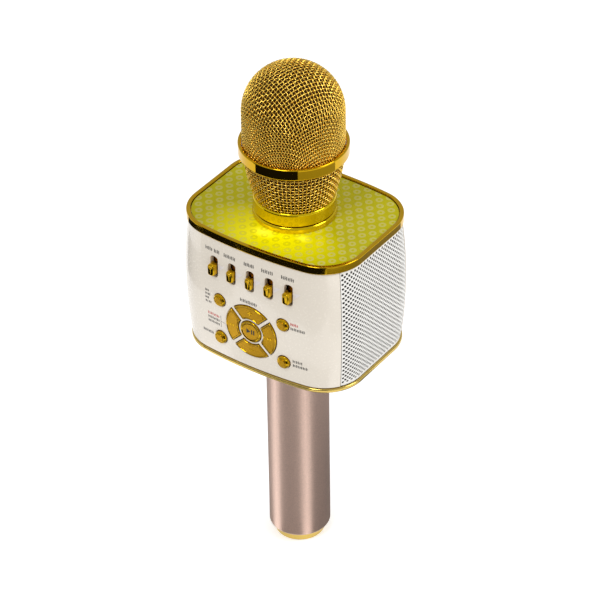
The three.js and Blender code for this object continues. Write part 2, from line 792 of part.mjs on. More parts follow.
function makePads() {
  const flangeBack = FLANGE_FRONT + FLANGE_THICKNESS;
  const post = new THREE.CylinderGeometry(1.2, 1.2, POST_TIP - flangeBack + 0.2, 12);
  post.translate(0, (POST_TIP + flangeBack - 0.2) / 2, 11);
  const cap = padPrism(PAD_INNER, PAD_OUTER, PAD_HALF_RIB, PAD_FACE, FLANGE_FRONT + 0.1, 0);
  const flange = padPrism(PAD_INNER - 0.5, PAD_OUTER + 1.2, 0.5, FLANGE_FRONT, flangeBack, 0);
  const pad = joined(cap, flange, post);
  PADS.forEach(({ name, turn }) => {
    const mesh = add(name, pad, 'goldChrome', 0, 0, PAD_CENTRE_Z);
    mesh.rotation.y = -THREE.MathUtils.degToRad(turn);
  });

  const centre = [
    [0, -POST_TIP],
    [1.2, -POST_TIP],
    [1.2, -flangeBack],
    [PLAY_RADIUS + 0.7, -flangeBack],
    [PLAY_RADIUS + 0.7, -FLANGE_FRONT],
    [PLAY_RADIUS, -FLANGE_FRONT],
    [PLAY_RADIUS, -PAD_FACE],
    [PLAY_RADIUS - 0.7, 0.5 - PAD_FACE],
    [0, 0.3 - PAD_FACE],
  ];
  const play = add('button_play', turned(centre, 20), 'goldChrome', 0, 0, PAD_CENTRE_Z);
  play.rotation.x = HALF_PI;
}

// ---------------------------------------------------------------- speakers

// Each speaker is turned on +Z and then laid over to face its own side grille.
function makeSpeakers() {
  const face = SPEAKER_FACE;
  const frame = ring([
    [SPEAKER_RADIUS, face],
    [SPEAKER_OPENING, face],
    [19.6, face - 3.5],
    [12, face - 10],
    [8, face - 10],
    [8, face - 11],
    [12.6, face - 11],
    [20.7, face - 4],
    [21.1, face - 1.2],
    [SPEAKER_RADIUS, face - 1.2],
  ]);
  const cone = [
    [0, face - 5.5],
    [4, face - 5.9],
    [7, face - 7.3],
    [18.6, face - 1.5],
    [18.6, face - 2.2],
    [7, face - 8],
    [4, face - 6.7],
    [0, face - 6.3],
  ];
  const magnet = [[0, face - 19], [12, face - 19], [12, face - 11.2], [0, face - 11.2]];
  [['right', 1], ['left', -1]].forEach(([side, sign]) => {
    const pieces = [
      [`speaker_frame_${side}`, turned(frame, 20), 'steel'],
      [`speaker_cone_${side}`, turned(cone, 20), 'cone'],
      [`speaker_magnet_${side}`, turned(magnet, 16), 'ferrite'],
    ];
    pieces.forEach(([name, geometry, look]) => {
      const mesh = add(name, geometry, look, 0, 0, SPEAKER_Z);
      mesh.rotation.y = sign * HALF_PI;
    });
  });
}

// ---------------------------------------------------------------- handle

function makeHandle() {
  const tubeTop = BOX_BOTTOM + BOTTOM_TRIM_HEIGHT;
  const edge = 1.6;
  const tube = [
    [HANDLE_BORE, HANDLE_BOTTOM],
    ...arc(HANDLE_RADIUS - edge, HANDLE_BOTTOM + edge, edge, -80, 0, 3),
    [HANDLE_RADIUS, tubeTop],
    [HANDLE_BORE, tubeTop],
  ];
  add('handle_tube', turned(ring(tube)), 'roseGold');

  const flangeBottom = tubeTop + 0.3;
  const core = [
    [0, 10],
    [CORE_RADIUS, 10],
    [CORE_RADIUS, flangeBottom],
    [22, flangeBottom],
    [22, flangeBottom + 2.4],
    [CORE_BORE, flangeBottom + 2.4],
    [CORE_BORE, 12],
    [0, 12],
  ];
  add('handle_core', turned(core, 24), 'black');
  const cell = [
    [0, 30],
    [CELL_RADIUS, 30],
    [CELL_RADIUS, 30 + CELL_LENGTH],
    [2.8, 30 + CELL_LENGTH],
    [2.8, 31.2 + CELL_LENGTH],
    [0, 31.2 + CELL_LENGTH],
  ];
  add('battery_cell', turned(cell, 20), 'cell');

  const endRing = [
    [9.6, 0],
    [12.2, 0],
    [12.8, 0.6],
    [13.35, HANDLE_BOTTOM - 0.3],
    [13.35, HANDLE_BOTTOM + 4.5],
    [11, HANDLE_BOTTOM + 4.5],
    [9.6, HANDLE_BOTTOM - 1],
  ];
  add('end_ring', turned(ring(endRing)), 'goldChrome');
  add('end_cap', turned([[0, 0], [9.3, 0], [9.3, 3.2], [0, 3.2]], 32), 'black');
}

makeHead();
makeNeck();
makeTopTrim();
makeLensAndLights();
makeFrontPanel();
makeSideGrilles();
makeRearPanel();
makeSockets();
makeScrews();
makeInnerFrame();
makeMainBoard();
makeFaders();
makeRoundButtons();
makePads();
makeSpeakers();
makeBottom();
makeHandle();

export default microphone;
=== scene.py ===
"""Karaoke microphone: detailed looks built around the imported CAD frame.

Metres, +Z up, control panel towards -Y. Outlines on the box's wall are drawn in millimetres as
(distance along the plan, height) and laid on the barrel surface by wall_point().
"""

import itertools
import json
import math

import bpy
import numpy as np
from mathutils import Matrix, Vector, noise
from mathutils.geometry import delaunay_2d_cdt


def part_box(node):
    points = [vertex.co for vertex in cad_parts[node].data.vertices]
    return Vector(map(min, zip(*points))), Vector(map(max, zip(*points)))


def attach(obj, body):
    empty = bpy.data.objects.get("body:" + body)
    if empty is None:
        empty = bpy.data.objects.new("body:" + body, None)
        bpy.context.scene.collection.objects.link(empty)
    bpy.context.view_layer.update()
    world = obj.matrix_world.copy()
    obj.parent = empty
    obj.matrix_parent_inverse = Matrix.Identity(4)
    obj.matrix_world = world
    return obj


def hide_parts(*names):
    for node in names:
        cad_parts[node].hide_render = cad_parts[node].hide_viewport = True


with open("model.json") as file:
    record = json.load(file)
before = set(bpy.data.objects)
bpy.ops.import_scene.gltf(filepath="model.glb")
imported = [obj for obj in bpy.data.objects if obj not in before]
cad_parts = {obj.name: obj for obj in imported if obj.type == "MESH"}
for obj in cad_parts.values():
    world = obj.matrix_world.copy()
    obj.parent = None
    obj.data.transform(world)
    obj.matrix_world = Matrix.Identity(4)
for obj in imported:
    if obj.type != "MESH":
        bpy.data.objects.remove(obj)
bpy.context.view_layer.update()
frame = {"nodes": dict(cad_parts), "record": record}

MM = 0.001
HALF_PI = math.pi / 2
SLOTS = {part["node"]: part["material_slot"] for part in frame["record"]["subparts"]}


# ---------------- sizes taken from the frame, in millimetres


def low(node):
    return np.array(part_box(node)[0]) / MM


def high(node):
    return np.array(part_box(node)[1]) / MM


def middle(node):
    return (low(node) + high(node)) / 2


# Plan of the box: bowed front and back, round corners, straight flanks
TRIM_PROUD = 0.75
TRIM_HALF_HEIGHT = 2.15
TRIM_LIP = -1.3
BOX_TOP = high("top_trim")[2]
HALF_WIDTH = high("top_trim")[0] - TRIM_PROUD
FRONT = -low("top_trim")[1] - TRIM_PROUD
BOW = 230.0
CORNER = 21.0
CORNER_X = HALF_WIDTH - CORNER
BOW_CENTRE = BOW - FRONT
CORNER_Y = math.sqrt((BOW - CORNER) ** 2 - CORNER_X**2) - BOW_CENTRE
BOW_TURN = math.atan2(CORNER_X, BOW_CENTRE + CORNER_Y)
BOW_RUN = BOW * BOW_TURN
CORNER_RUN = CORNER * (HALF_PI - BOW_TURN)
QUARTER = BOW_RUN + CORNER_RUN + CORNER_Y

# Barrel wall
WALL_LOW = low("front_panel")[2]
WALL_HIGH = high("front_panel")[2]
WALL_MIDDLE = (WALL_LOW + WALL_HIGH) / 2
WALL_HALF = (WALL_HIGH - WALL_LOW) / 2
BARREL_SIDE = 2.5
BARREL_FRONT = 1.0
WALL = 2.2
SEAM_TURN = math.radians(55)
SEAM_RUN = BOW_RUN + CORNER * (SEAM_TURN - BOW_TURN)
SEAM_GAP = 0.3
CLEARANCE = 0.3

# Controls
PLAY = middle("button_play")
PLAY_RADIUS = (high("button_play") - low("button_play"))[0] / 2 - 0.7
PAD_OUTER = high("pad_up")[2] - PLAY[2] - 1.2
PAD_INNER = 7.4
PAD_HALF_RIB = 1.2
ROUND_NAMES = ("button_mode", "button_tone", "button_record", "button_vocal")
ROUND_RADIUS = (high("button_mode") - low("button_mode"))[0] / 2 - 1.15
PAD_TURNS = {"pad_up": 0, "pad_left": 90, "pad_down": 180, "pad_right": 270}
FADERS = range(1, 6)
SCREWS = range(1, 5)
SLOT_WIDTH = 4.4
SLOT_LENGTH = 11.4
SLOT_CORNER = 1.6

# Head and neck
DOME_RADIUS = high("grille_dome")[0]
DOME_CENTRE = high("grille_dome")[2] - DOME_RADIUS
DOME_BOTTOM = low("grille_dome")[2]
BAND_LOW = low("grille_band")[2]
BAND_HIGH = high("grille_band")[2]
BAND_RADIUS = high("grille_band")[0]
RING_LOW = low("grille_thread_ring")[2]
RING_HIGH = high("grille_thread_ring")[2]
RING_RADIUS = high("grille_thread_ring")[0]
SPIGOT_RADIUS = 17.2
NECK_BORE = 14.5

# Handle
HANDLE_RADIUS = high("handle_tube")[0]
HANDLE_LOW = low("handle_tube")[2]
HANDLE_HIGH = high("handle_tube")[2]
HANDLE_BORE = 13.9


# ---------------- plan and barrel surface


def unit(vectors):
    return vectors / np.linalg.norm(vectors, axis=-1, keepdims=True)


def polar(radius, turn, height):
    return np.array([radius * math.cos(turn), radius * math.sin(turn), height])


def plan_point(run):
    """Points and outward normals on the box's plan, by distance from the middle of the front."""
    run = np.asarray(run, float)
    side = np.where(run < 0, -1.0, 1.0)
    rear = np.abs(run) > QUARTER
    along = np.where(rear, 2 * QUARTER - np.abs(run), np.abs(run))
    on_bow = along < BOW_RUN
    turn = np.where(on_bow, along / BOW, BOW_TURN + (along - BOW_RUN) / CORNER)
    turn = np.clip(turn, 0, HALF_PI)
    nx = np.sin(turn)
    ny = -np.cos(turn)
    x = np.where(on_bow, BOW * nx, CORNER_X + CORNER * nx)
    y = np.where(on_bow, BOW_CENTRE + BOW * ny, -CORNER_Y + CORNER * ny)
    y = y + np.maximum(0, along - BOW_RUN - CORNER_RUN)
    flip = np.where(rear, -1.0, 1.0)
    return side * x, flip * y, side * nx, flip * ny


def swell(height, nx, ny):
    along = (height - WALL_MIDDLE) / WALL_HALF
    return np.maximum(0, 1 - along**2) * (BARREL_SIDE * nx**2 + BARREL_FRONT * ny**2)


def wall_point(flat, offset=0.0):
    """Millimetre points of the barrel wall, from rows of (run along the plan, height)."""
    run, height = np.asarray(flat, float).T
    x, y, nx, ny = plan_point(run)
    reach = swell(height, nx, ny) + offset
    return np.column_stack([x + reach * nx, y + reach * ny, height])


def wall_normal(flat):
    step = 0.05
    along = wall_point(flat + [step, 0]) - wall_point(flat - [step, 0])
    up = wall_point(flat + [0, step]) - wall_point(flat - [0, step])
    return unit(np.cross(along, up))


def on_front(outline):
    """A front-view outline of (x, z) as rows of (run, height) on the bowed front."""
    x, z = np.asarray(outline, float).T
    return np.column_stack([BOW * np.arcsin(x / (BOW + swell(z, 0, 1))), z])


# ---------------- outlines


def arc(u, v, radius, start, end, steps):
    angles = np.radians(np.linspace(start, end, steps + 1))
    return [(u + radius * math.cos(a), v + radius * math.sin(a)) for a in angles]


def circle(u, v, radius, steps):
    return arc(u, v, radius, 0, 360 - 360 / steps, steps - 1)


def bar(u0, u1, v0, v1):
    return [(u0, v0), (u1, v0), (u1, v1), (u0, v1)]


def rounded_box(u, v, width, length, radius, steps=4):
    a = width / 2 - radius
    b = length / 2 - radius
    points = []
    for turn, (su, sv) in enumerate(((1, 1), (-1, 1), (-1, -1), (1, -1))):
        points += arc(u + su * a, v + sv * b, radius, 90 * turn, 90 * turn + 90, steps)
    return points


def quadrant(inner, outer, half_rib, steps=24, side_steps=7):
    """Quarter ring centred upwards, with sides parallel to the diagonals."""
    outer_turn = math.degrees(math.asin(half_rib / outer))
    inner_turn = math.degrees(math.asin(half_rib / inner))
    rim = arc(0, 0, outer, 45 + outer_turn, 135 - outer_turn, steps)
    hub = arc(0, 0, inner, 135 - inner_turn, 45 + inner_turn, steps // 2)
    left_side = between(rim[-1], hub[0], side_steps)
    right_side = between(hub[-1], rim[0], side_steps)
    return rim + left_side + hub + right_side


def between(start, end, steps):
    """The points that divide a straight line, without its ends."""
    shares = [k / steps for k in range(1, steps)]
    return [(start[0] + (end[0] - start[0]) * t, start[1] + (end[1] - start[1]) * t) for t in shares]


def turned_outline(outline, degrees, u=0.0, v=0.0):
    c, s = math.cos(math.radians(degrees)), math.sin(math.radians(degrees))
    return [(u + p * c - q * s, v + p * s + q * c) for p, q in outline]


def moved_outline(outline, u, v):
    return [(u + p, v + q) for p, q in outline]


def grown(outline, distance):
    """A counter-clockwise outline moved outwards by a distance."""
    points = np.asarray(outline, float)
    edges = unit(np.roll(points, -1, axis=0) - points)
    outward = np.stack([edges[:, 1], -edges[:, 0]], axis=1)
    before = np.roll(outward, 1, axis=0)
    share = 1 + np.sum(before * outward, axis=1, keepdims=True)
    return points + distance * (before + outward) / np.maximum(share, 0.4)


def dense(outline, spacing):
    """The outline with points added along its long edges."""
    points = []
    count = len(outline)
    for i, (u, v) in enumerate(outline):
        nu, nv = outline[(i + 1) % count]
        steps = max(1, round(math.hypot(nu - u, nv - v) / spacing))
        points += [(u + (nu - u) * k / steps, v + (nv - v) * k / steps) for k in range(steps)]
    return points


def inside(outline, u, v):
    found = False
    count = len(outline)
    for i in range(count):
        a, b = outline[i], outline[(i + 1) % count]
        if (a[1] > v) != (b[1] > v) and u < a[0] + (b[0] - a[0]) * (v - a[1]) / (b[1] - a[1]):
            found = not found
    return found


def split(points, edges):
    """Triangles over 2-D points that keep the edges, as indices of the points."""
    _, _, faces, origins, _, _ = delaunay_2d_cdt(points, edges, [], 0, 1e-7)
    return [[origins[i][0] for i in face] for face in faces]


def loop_edges(start, count):
    return [(start + i, start + (i + 1) % count) for i in range(count)]


def centre_inside(loop, points, corners):
    centre = sum((points[i] for i in corners), Vector((0, 0))) / 3
    return inside(loop, centre.x, centre.y)


def cap_triangles(loop):
    """Triangles that fill a loop, which need not be convex."""
    points = [Vector(p) for p in loop]
    triangles = split(points, loop_edges(0, len(loop)))
    return [corners for corners in triangles if centre_inside(loop, points, corners)]


def triangulate(loops, loose):
    """Triangles inside the first, convex loop and outside all the others, as indices of the points."""
    points = []
    edges = []
    owner = []
    for number, loop in enumerate([*loops, loose]):
        if number < len(loops):
            edges += loop_edges(len(points), len(loop))
        points += [Vector((float(u), float(v))) for u, v in loop]
        owner += [number] * len(loop)
    kept = []
    for corners in split(points, edges):
        owners = {owner[i] for i in corners}
        number = owners.pop()
        hole = not owners and 0 < number < len(loops)
        if not (hole and centre_inside(loops[number], points, corners)):
            kept.append(corners)
    return np.array(kept)


# ---------------- mesh building


class Shell:
    """Collects points, faces and a normal for each face corner, all in millimetres."""

    def __init__(self):
        self.points = []
        self.faces = []
        self.normals = []
        self.count = 0

    def add(self, points):
        start = self.count
        self.points.append(np.asarray(points, float))
        self.count += len(points)
        return np.arange(start, self.count)

    def face(self, corners, normals):
        self.faces.extend(corners.tolist())
        self.normals.append(normals.reshape(-1, 3))

    def strip(self, first, second, first_normals, second_normals, outward):
        """Quads between two closed rows of points."""
        corners = np.stack([first, np.roll(first, -1), np.roll(second, -1), second], axis=1)
        ends = [np.roll(rows, -1, axis=0) for rows in (first_normals, second_normals)]
        normals = np.stack([first_normals, *ends, second_normals], axis=1)
        turn = -1 if outward else 1
        self.face(corners[:, ::turn], normals[:, ::turn])

    def build(self, name, mirror=(1, 1, 1)):
        turn = -1 if np.prod(mirror) < 0 else 1
        points = np.concatenate(self.points) * np.array(mirror)
        made = new_object(name, points, [face[::turn] for face in self.faces[::turn]])
        normals = np.concatenate(self.normals)[::turn] * np.array(mirror)
        made.data.normals_split_custom_set(normals.tolist())
        return made


def link(name, data):
    made = bpy.data.objects.new(name, data)
    bpy.context.scene.collection.objects.link(made)
    return made


def new_object(name, points, faces):
    """A smoothly shaded mesh from points in millimetres."""
    mesh = bpy.data.meshes.new(name)
    mesh.from_pydata((np.asarray(points) * MM).tolist(), [], faces)
    mesh.polygons.foreach_set("use_smooth", [True] * len(mesh.polygons))
    return link(name, mesh)


def smooth_mesh(name, points, faces, sharp=35):
    """A mesh that is smooth apart from edges sharper than an angle in degrees."""
    made = new_object(name, points, faces)
    made.data.set_sharp_from_angle(angle=math.radians(sharp))
    return made


def grid_faces(rows, columns, ring=True):
    """Quads between stacked rows of points; each row is closed when ring is true."""
    faces = []
    for k in range(rows - 1):
        for i in range(columns if ring else columns - 1):
            a, b = k * columns + i, k * columns + (i + 1) % columns
            faces.append([a, b, b + columns, a + columns])
    return faces


def pierced_sheet(name, lay, normal_at, border, holes, loose, depth, lip, lip_steps=3, mirror=(1, 1, 1)):
    """A sheet of a given depth with rounded edges round its border and its holes."""
    shell = Shell()
    loops = [np.asarray(border, float)] + [np.asarray(hole, float) for hole in holes]
    brows = [grown(loops[0], -lip)] + [grown(loop, lip) for loop in loops[1:]]
    triangles = triangulate([b.tolist() for b in brows], loose)
    flat = np.concatenate(brows + [np.asarray(loose, float).reshape(-1, 2)])
    normals = normal_at(flat)
    top = shell.add(lay(flat, 0.0))
    bottom = shell.add(lay(flat, -depth))
    shell.face(top[triangles], normals[triangles])
    backward = triangles[:, ::-1]
    shell.face(bottom[backward], -normals[backward])
    start = 0
    for number, (loop, brow) in enumerate(zip(loops, brows)):
        outward = number == 0
        count = len(loop)
        rows = np.arange(start, start + count)
        start += count
        toward = unit(lay(loop, 0.0) - lay(brow, 0.0))
        up = normals[rows]
        last, last_normals = top[rows], up
        for k in range(1, lip_steps + 1):
            a = HALF_PI * k / lip_steps
            ring = brow + (loop - brow) * math.sin(a)
            points = shell.add(lay(ring, -lip * (1 - math.cos(a))))
            turned = up * math.cos(a) + toward * math.sin(a)
            shell.strip(last, points, last_normals, turned, outward)
            last, last_normals = points, turned
        foot = shell.add(lay(loop, -depth))
        shell.strip(last, foot, toward, toward, outward)
        shell.strip(foot, bottom[rows], -up, -up, outward)
    return shell.build(name, mirror)


def lathe(name, profile, segments=96, sharp=35):
    """A closed profile of (radius, height) turned about Z. Points at radius 0 become poles."""
    points = []
    rings = []
    for radius, height in profile:
        start = len(points)
        count = 1 if radius < 1e-6 else segments
        points += [polar(radius, 2 * math.pi * k / segments, height) for k in range(count)]
        rings.append([start + k % count for k in range(segments)])
    if profile[0][0] > 1e-6:
        rings.append(rings[0])
    faces = []
    for lower, upper in zip(rings, rings[1:]):
        for i in range(segments):
            j = (i + 1) % segments
            face = [lower[i], lower[j], upper[j], upper[i]]
            unique = [v for k, v in enumerate(face) if v != face[k - 1]]
            if len(unique) > 2:
                faces.append(unique)
    return smooth_mesh(name, points, faces, sharp)


def rounded(profile, radius, steps=4):
    """A closed profile with its corners rounded, each by as much as its edges allow.

    A point just beyond each end of a corner keeps the shading of the straight sides flat.
    """
    points = np.asarray(profile, float)
    count = len(points)
    result = []
    for i in range(count):
        here, before, after = points[i], points[i - 1], points[(i + 1) % count]
        if here[0] < 1e-6:
            result.append(tuple(here))
            continue
        into, out = before - here, after - here
        reach = min(radius, np.linalg.norm(into) * 0.45, np.linalg.norm(out) * 0.45)
        into *= reach / np.linalg.norm(into)
        out *= reach / np.linalg.norm(out)
        result.append(tuple(here + 1.1 * into))
        for k in range(steps + 1):
            t = k / steps
            result.append(tuple(here + (1 - t) ** 2 * into + t**2 * out))
        result.append(tuple(here + 1.1 * out))
    return result


def plan_runs(steps=84):
    """Stations round the whole plan, close together on the corners."""
    bow = np.linspace(0, BOW_RUN, 12, endpoint=False)
    corner = np.linspace(BOW_RUN, BOW_RUN + CORNER_RUN, steps // 2, endpoint=False)
    flank = np.linspace(BOW_RUN + CORNER_RUN, QUARTER, 6, endpoint=False)
    quarter = np.concatenate([bow, corner, flank])
    back = 2 * QUARTER - quarter[1:][::-1]
    half = np.concatenate([quarter, [QUARTER], back])
    return np.concatenate([half, [2 * QUARTER], -half[1:][::-1]])


def bent(name, profile, sharp=35):
    """A closed profile of (offset from the plan, height) swept round the box."""
    x, y, nx, ny = plan_point(plan_runs())
    rows = [np.column_stack([x + u * nx, y + u * ny, np.full(len(x), height)]) for u, height in profile]
    faces = grid_faces(len(rows) + 1, len(x))
    total = len(rows) * len(x)
    faces = [[corner % total for corner in face] for face in faces]
    return smooth_mesh(name, np.concatenate(rows), faces, sharp)


def stacked(outline_at, rows, lay):
    """Points and faces of rows of (inset, height) of an outline, closed by a cap at each end."""
    points = [point for inset, height in rows for point in lay(outline_at(inset), height)]
    count = len(outline_at(0))
    faces = grid_faces(len(rows), count)
    for row in (0, len(rows) - 1):
        loop = np.asarray(outline_at(rows[row][0]), float).tolist()
        for corners in cap_triangles(loop):
            shifted = [c + row * count for c in corners]
            faces.append(shifted if row else shifted[::-1])
    return points, faces


def raised(name, outline_at, rows, lay, sharp=40):
    return smooth_mesh(name, *stacked(outline_at, rows, lay), sharp)


def plain(outline):
    """The outline itself, moved inwards by the inset asked for."""
    return lambda inset: grown(outline, -inset)


# ---------------- materials


class Look:
    """A Principled material and the small node graph that varies it, in object coordinates."""

    def __init__(self, name, color, roughness, metallic=0.0, coat=0.0):
        self.material = bpy.data.materials.new(name)
        self.material.use_nodes = True
        self.tree = self.material.node_tree
        self.shader = self.tree.nodes["Principled BSDF"]
        self.set("Base Color", (*color, 1))
        self.set("Metallic", metallic)
        self.set("Roughness", roughness)
        self.set("Coat Weight", coat)
        self.set("Coat Roughness", 0.03)
        self.place = self.node("ShaderNodeTexCoord").outputs["Object"]

    def set(self, name, value):
        self.shader.inputs[name].default_value = value

    def drive(self, name, socket):
        self.tree.links.new(socket, self.shader.inputs[name])

    def node(self, kind, inputs=(), **settings):
        made = self.tree.nodes.new(kind)
        for name, value in settings.items():
            setattr(made, name, value)
        for key, value in dict(inputs).items():
            if isinstance(value, bpy.types.NodeSocket):
                self.tree.links.new(value, made.inputs[key])
            else:
                made.inputs[key].default_value = value
        return made

    def math(self, operation, a, b=0.0, c=0.0):
        return self.node("ShaderNodeMath", {0: a, 1: b, 2: c}, operation=operation).outputs[0]

    def scaled(self, value, offset, factor):
        return self.math("MULTIPLY", self.math("ADD", value, offset), factor)

    def length(self, u, v):
        return self.math("SQRT", self.math("ADD", self.math("POWER", u, 2), self.math("POWER", v, 2)))

    def noise(self, scale, detail, stretch=(1, 1, 1)):
        """Noise with a feature size of about one over scale, in metres."""
        place = self.node("ShaderNodeMapping", {"Vector": self.place, "Scale": stretch}).outputs[0]
        inputs = {"Vector": place, "Scale": scale, "Detail": detail}
        return self.node("ShaderNodeTexNoise", inputs).outputs["Fac"]

    def cells(self, scale, output="Distance"):
        return self.node("ShaderNodeTexVoronoi", {"Vector": self.place, "Scale": scale}).outputs[output]

    def ramp(self, value, low_in, high_in, low_out, high_out):
        inputs = {0: value, 1: low_in, 2: high_in, 3: low_out, 4: high_out}
        return self.node("ShaderNodeMapRange", inputs).outputs[0]

    def mix(self, share, first, second):
        inputs = {"Factor": share}
        for key, value in ((6, first), (7, second)):
            inputs[key] = value if isinstance(value, bpy.types.NodeSocket) else (*value, 1)
        return self.node("ShaderNodeMix", inputs, data_type="RGBA").outputs[2]

    def tint(self, value, start, end, first, second):
        """Colour that goes from first to second while a value goes from start to end."""
        self.drive("Base Color", self.mix(self.ramp(value, start, end, 0, 1), first, second))

    def relief(self, height, distance):
        """Bump with relief of a height in metres."""
        bump = self.node("ShaderNodeBump", {"Height": height, "Distance": distance, "Strength": 1.0})
        self.drive("Normal", bump.outputs["Normal"])


def shade(color, factor):
    return tuple(channel * factor for channel in color)


def surface(name, first, second, tint, gloss, relief, metallic=0.0, coat=0.0):
    """A material varied by three noises, each of which starts with its (scale, detail).

    tint goes on with the noise values of the two colours, gloss with two noise values and the roughness
    at each, and relief with the height of the bump in metres.
    """
    look = Look(name, second, gloss[-1], metallic, coat)
    look.tint(look.noise(*tint[:2]), *tint[2:], first, second)
    look.drive("Roughness", look.ramp(look.noise(*gloss[:2]), *gloss[2:]))
    look.relief(look.noise(*relief[:2]), relief[2])
    return look.material


def gold(name, color, roughness, spread=0.05):
    gloss = (500, 5, 0.3, 0.75, roughness, roughness + spread)
    return surface(name, shade(color, 0.93), color, (140, 4, 0.35, 0.65), gloss, (260, 3, 2e-6), 1.0)


def wire_gold():
    first, second = (0.80, 0.52, 0.075), (0.97, 0.67, 0.13)
    gloss = (1800, 3, 0.3, 0.7, 0.13, 0.24)
    return surface("gold_wire_mesh", first, second, (220, 4, 0.35, 0.7), gloss, (6000, 2, 1e-5), 1.0)


def plated_steel():
    color = (0.62, 0.62, 0.63)
    gloss = (1600, 3, 0.3, 0.7, 0.22, 0.36)
    return surface("plated_steel", shade(color, 0.88), color, (300, 4, 0.3, 0.7), gloss, (2200, 3, 1e-5), 1.0)


def powder_coat():
    name = "white_perforated_steel"
    color = (0.80, 0.785, 0.75)
    tint = (2600, 3, 0.3, 0.7)
    return surface(name, shade(color, 0.95), color, tint, (*tint, 0.36, 0.5), (2600, 3, 2e-5), coat=0.15)


def moulded(name, color, roughness=0.5):
    tint = (1500, 3, 0.3, 0.7)
    gloss = (*tint, roughness - 0.08, roughness + 0.1)
    return surface(name, shade(color, 0.8), shade(color, 1.2), tint, gloss, (1500, 3, 2e-5))


def pearl_plastic():
    color = (0.715, 0.655, 0.565)
    look = Look("pearl_white_plastic", color, 0.24, coat=0.55)
    sparkle = look.ramp(look.cells(5200, "Color"), 0, 1, 0, 1)
    pale = look.mix(sparkle, shade(color, 0.985), shade(color, 1.015))
    broad = look.ramp(look.noise(60, 2), 0.3, 0.7, 0, 0.25)
    look.drive("Base Color", look.mix(broad, pale, (0.715, 0.645, 0.555)))
    look.drive("Roughness", look.ramp(look.noise(900, 4), 0.3, 0.7, 0.2, 0.3))
    look.relief(look.noise(350, 2), 4e-6)
    return look.material


def rose_aluminium():
    color = (0.64, 0.46, 0.385)
    look = Look("rose_gold_aluminium", color, 0.42, metallic=0.92)
    look.tint(look.cells(2600, "Color"), 0, 1, shade(color, 0.9), shade(color, 1.1))
    lines = look.noise(900, 4, stretch=(1, 1, 0.02))
    look.drive("Roughness", look.ramp(lines, 0.3, 0.7, 0.34, 0.42))
    look.relief(look.noise(7000, 3), 1.2e-5)
    return look.material


def lens_acrylic():
    """Printed with staggered pale rings and lit from below, most strongly in front of the neck."""
    base = (0.45, 0.413, 0.003)
    look = Look("yellow_lens", base, 0.1)
    look.set("Specular IOR Level", 0.07)
    split = look.node("ShaderNodeSeparateXYZ", {0: look.place})
    x, y = [look.math("MULTIPLY", split.outputs[axis], 1 / MM) for axis in (0, 1)]
    pitch_x, pitch_y = 6.4, 4.2
    distances = []
    for shift in (0.0, 0.5):
        u = look.math("PINGPONG", look.math("ADD", x, shift * pitch_x), pitch_x / 2)
        v = look.math("PINGPONG", look.math("ADD", y, shift * 2 * pitch_y), pitch_y)
        distances.append(look.length(u, v))
    distance = look.math("MINIMUM", *distances)
    ring = look.math("MULTIPLY", look.ramp(distance, 1.75, 1.95, 1, 0), look.ramp(distance, 0.6, 0.8, 0, 1))
    spread = look.length(look.scaled(y, 22.0, 1 / 17), look.scaled(x, -3.0, 1 / 30))
    glow = look.ramp(spread, 0.1, 1.3, 1, 0)
    lamps = []
    for lamp_x, lamp_y, size in ((-2, -23.5, 4.5), (17, -17.5, 3.4)):
        near = look.length(look.scaled(x, -lamp_x, 1 / (size * 1.6)), look.scaled(y, -lamp_y, 1 / size))
        lamps.append(look.ramp(near, 0, 1, 1, 0))
    spots = look.math("MAXIMUM", *lamps)
    ground = look.mix(look.ramp(look.noise(240, 3), 0.3, 0.7, 0, 1), base, (0.47, 0.43, 0.005))
    # The base colour is painted lighter and yellower where the lens is lit from below, and the rings' colour
    # follows it: painted light, on top of the emission.
    lit = look.mix(glow, ground, (0.78, 0.70, 0.0))
    ink = look.mix(look.ramp(glow, 0.2, 0.7, 0, 1), (0.54, 0.50, 0.14), (0.56, 0.51, 0.004))
    look.drive("Base Color", look.mix(look.math("MULTIPLY", ring, 0.75), lit, ink))
    look.drive("Emission Color", look.mix(spots, (0.62, 0.55, 0.0), (1.0, 0.92, 0.06)))
    power = look.math("MULTIPLY_ADD", spots, 0.35, look.math("MULTIPLY", glow, 0.5))
    look.drive("Emission Strength", look.math("MULTIPLY", power, look.ramp(ring, 0, 1, 1, 0.72)))
    look.relief(ring, 3e-5)
    return look.material


def grey_foam():
    color = (0.052, 0.025, 0.006)
    look = Look("grey_foam", color, 0.95)
    look.set("Specular IOR Level", 0.1)
    pore_pits_and_shade = look.cells(1300)
    # The pits are painted darker than the ridges between them: painted shade in the pores.
    look.tint(pore_pits_and_shade, 0.1, 0.6, shade(color, 0.4), shade(color, 1.8))
    look.relief(pore_pits_and_shade, 2e-4)
    return look.material


def circuit_board():
    color = (0.02, 0.13, 0.06)
    look = Look("green_circuit_board", color, 0.35, coat=0.4)
    tracks = look.cells(420)
    look.drive("Base Color", look.mix(look.ramp(tracks, 0.42, 0.5, 0, 0.8), color, (0.05, 0.24, 0.10)))
    look.relief(tracks, 3e-5)
    return look.material


def ink(name, color):
    look = Look(name, color, 0.45)
    grain = look.noise(5000, 2)
    look.tint(grain, 0.3, 0.7, color, shade(color, 1.25))
    look.relief(grain, 5e-6)
    return look.material


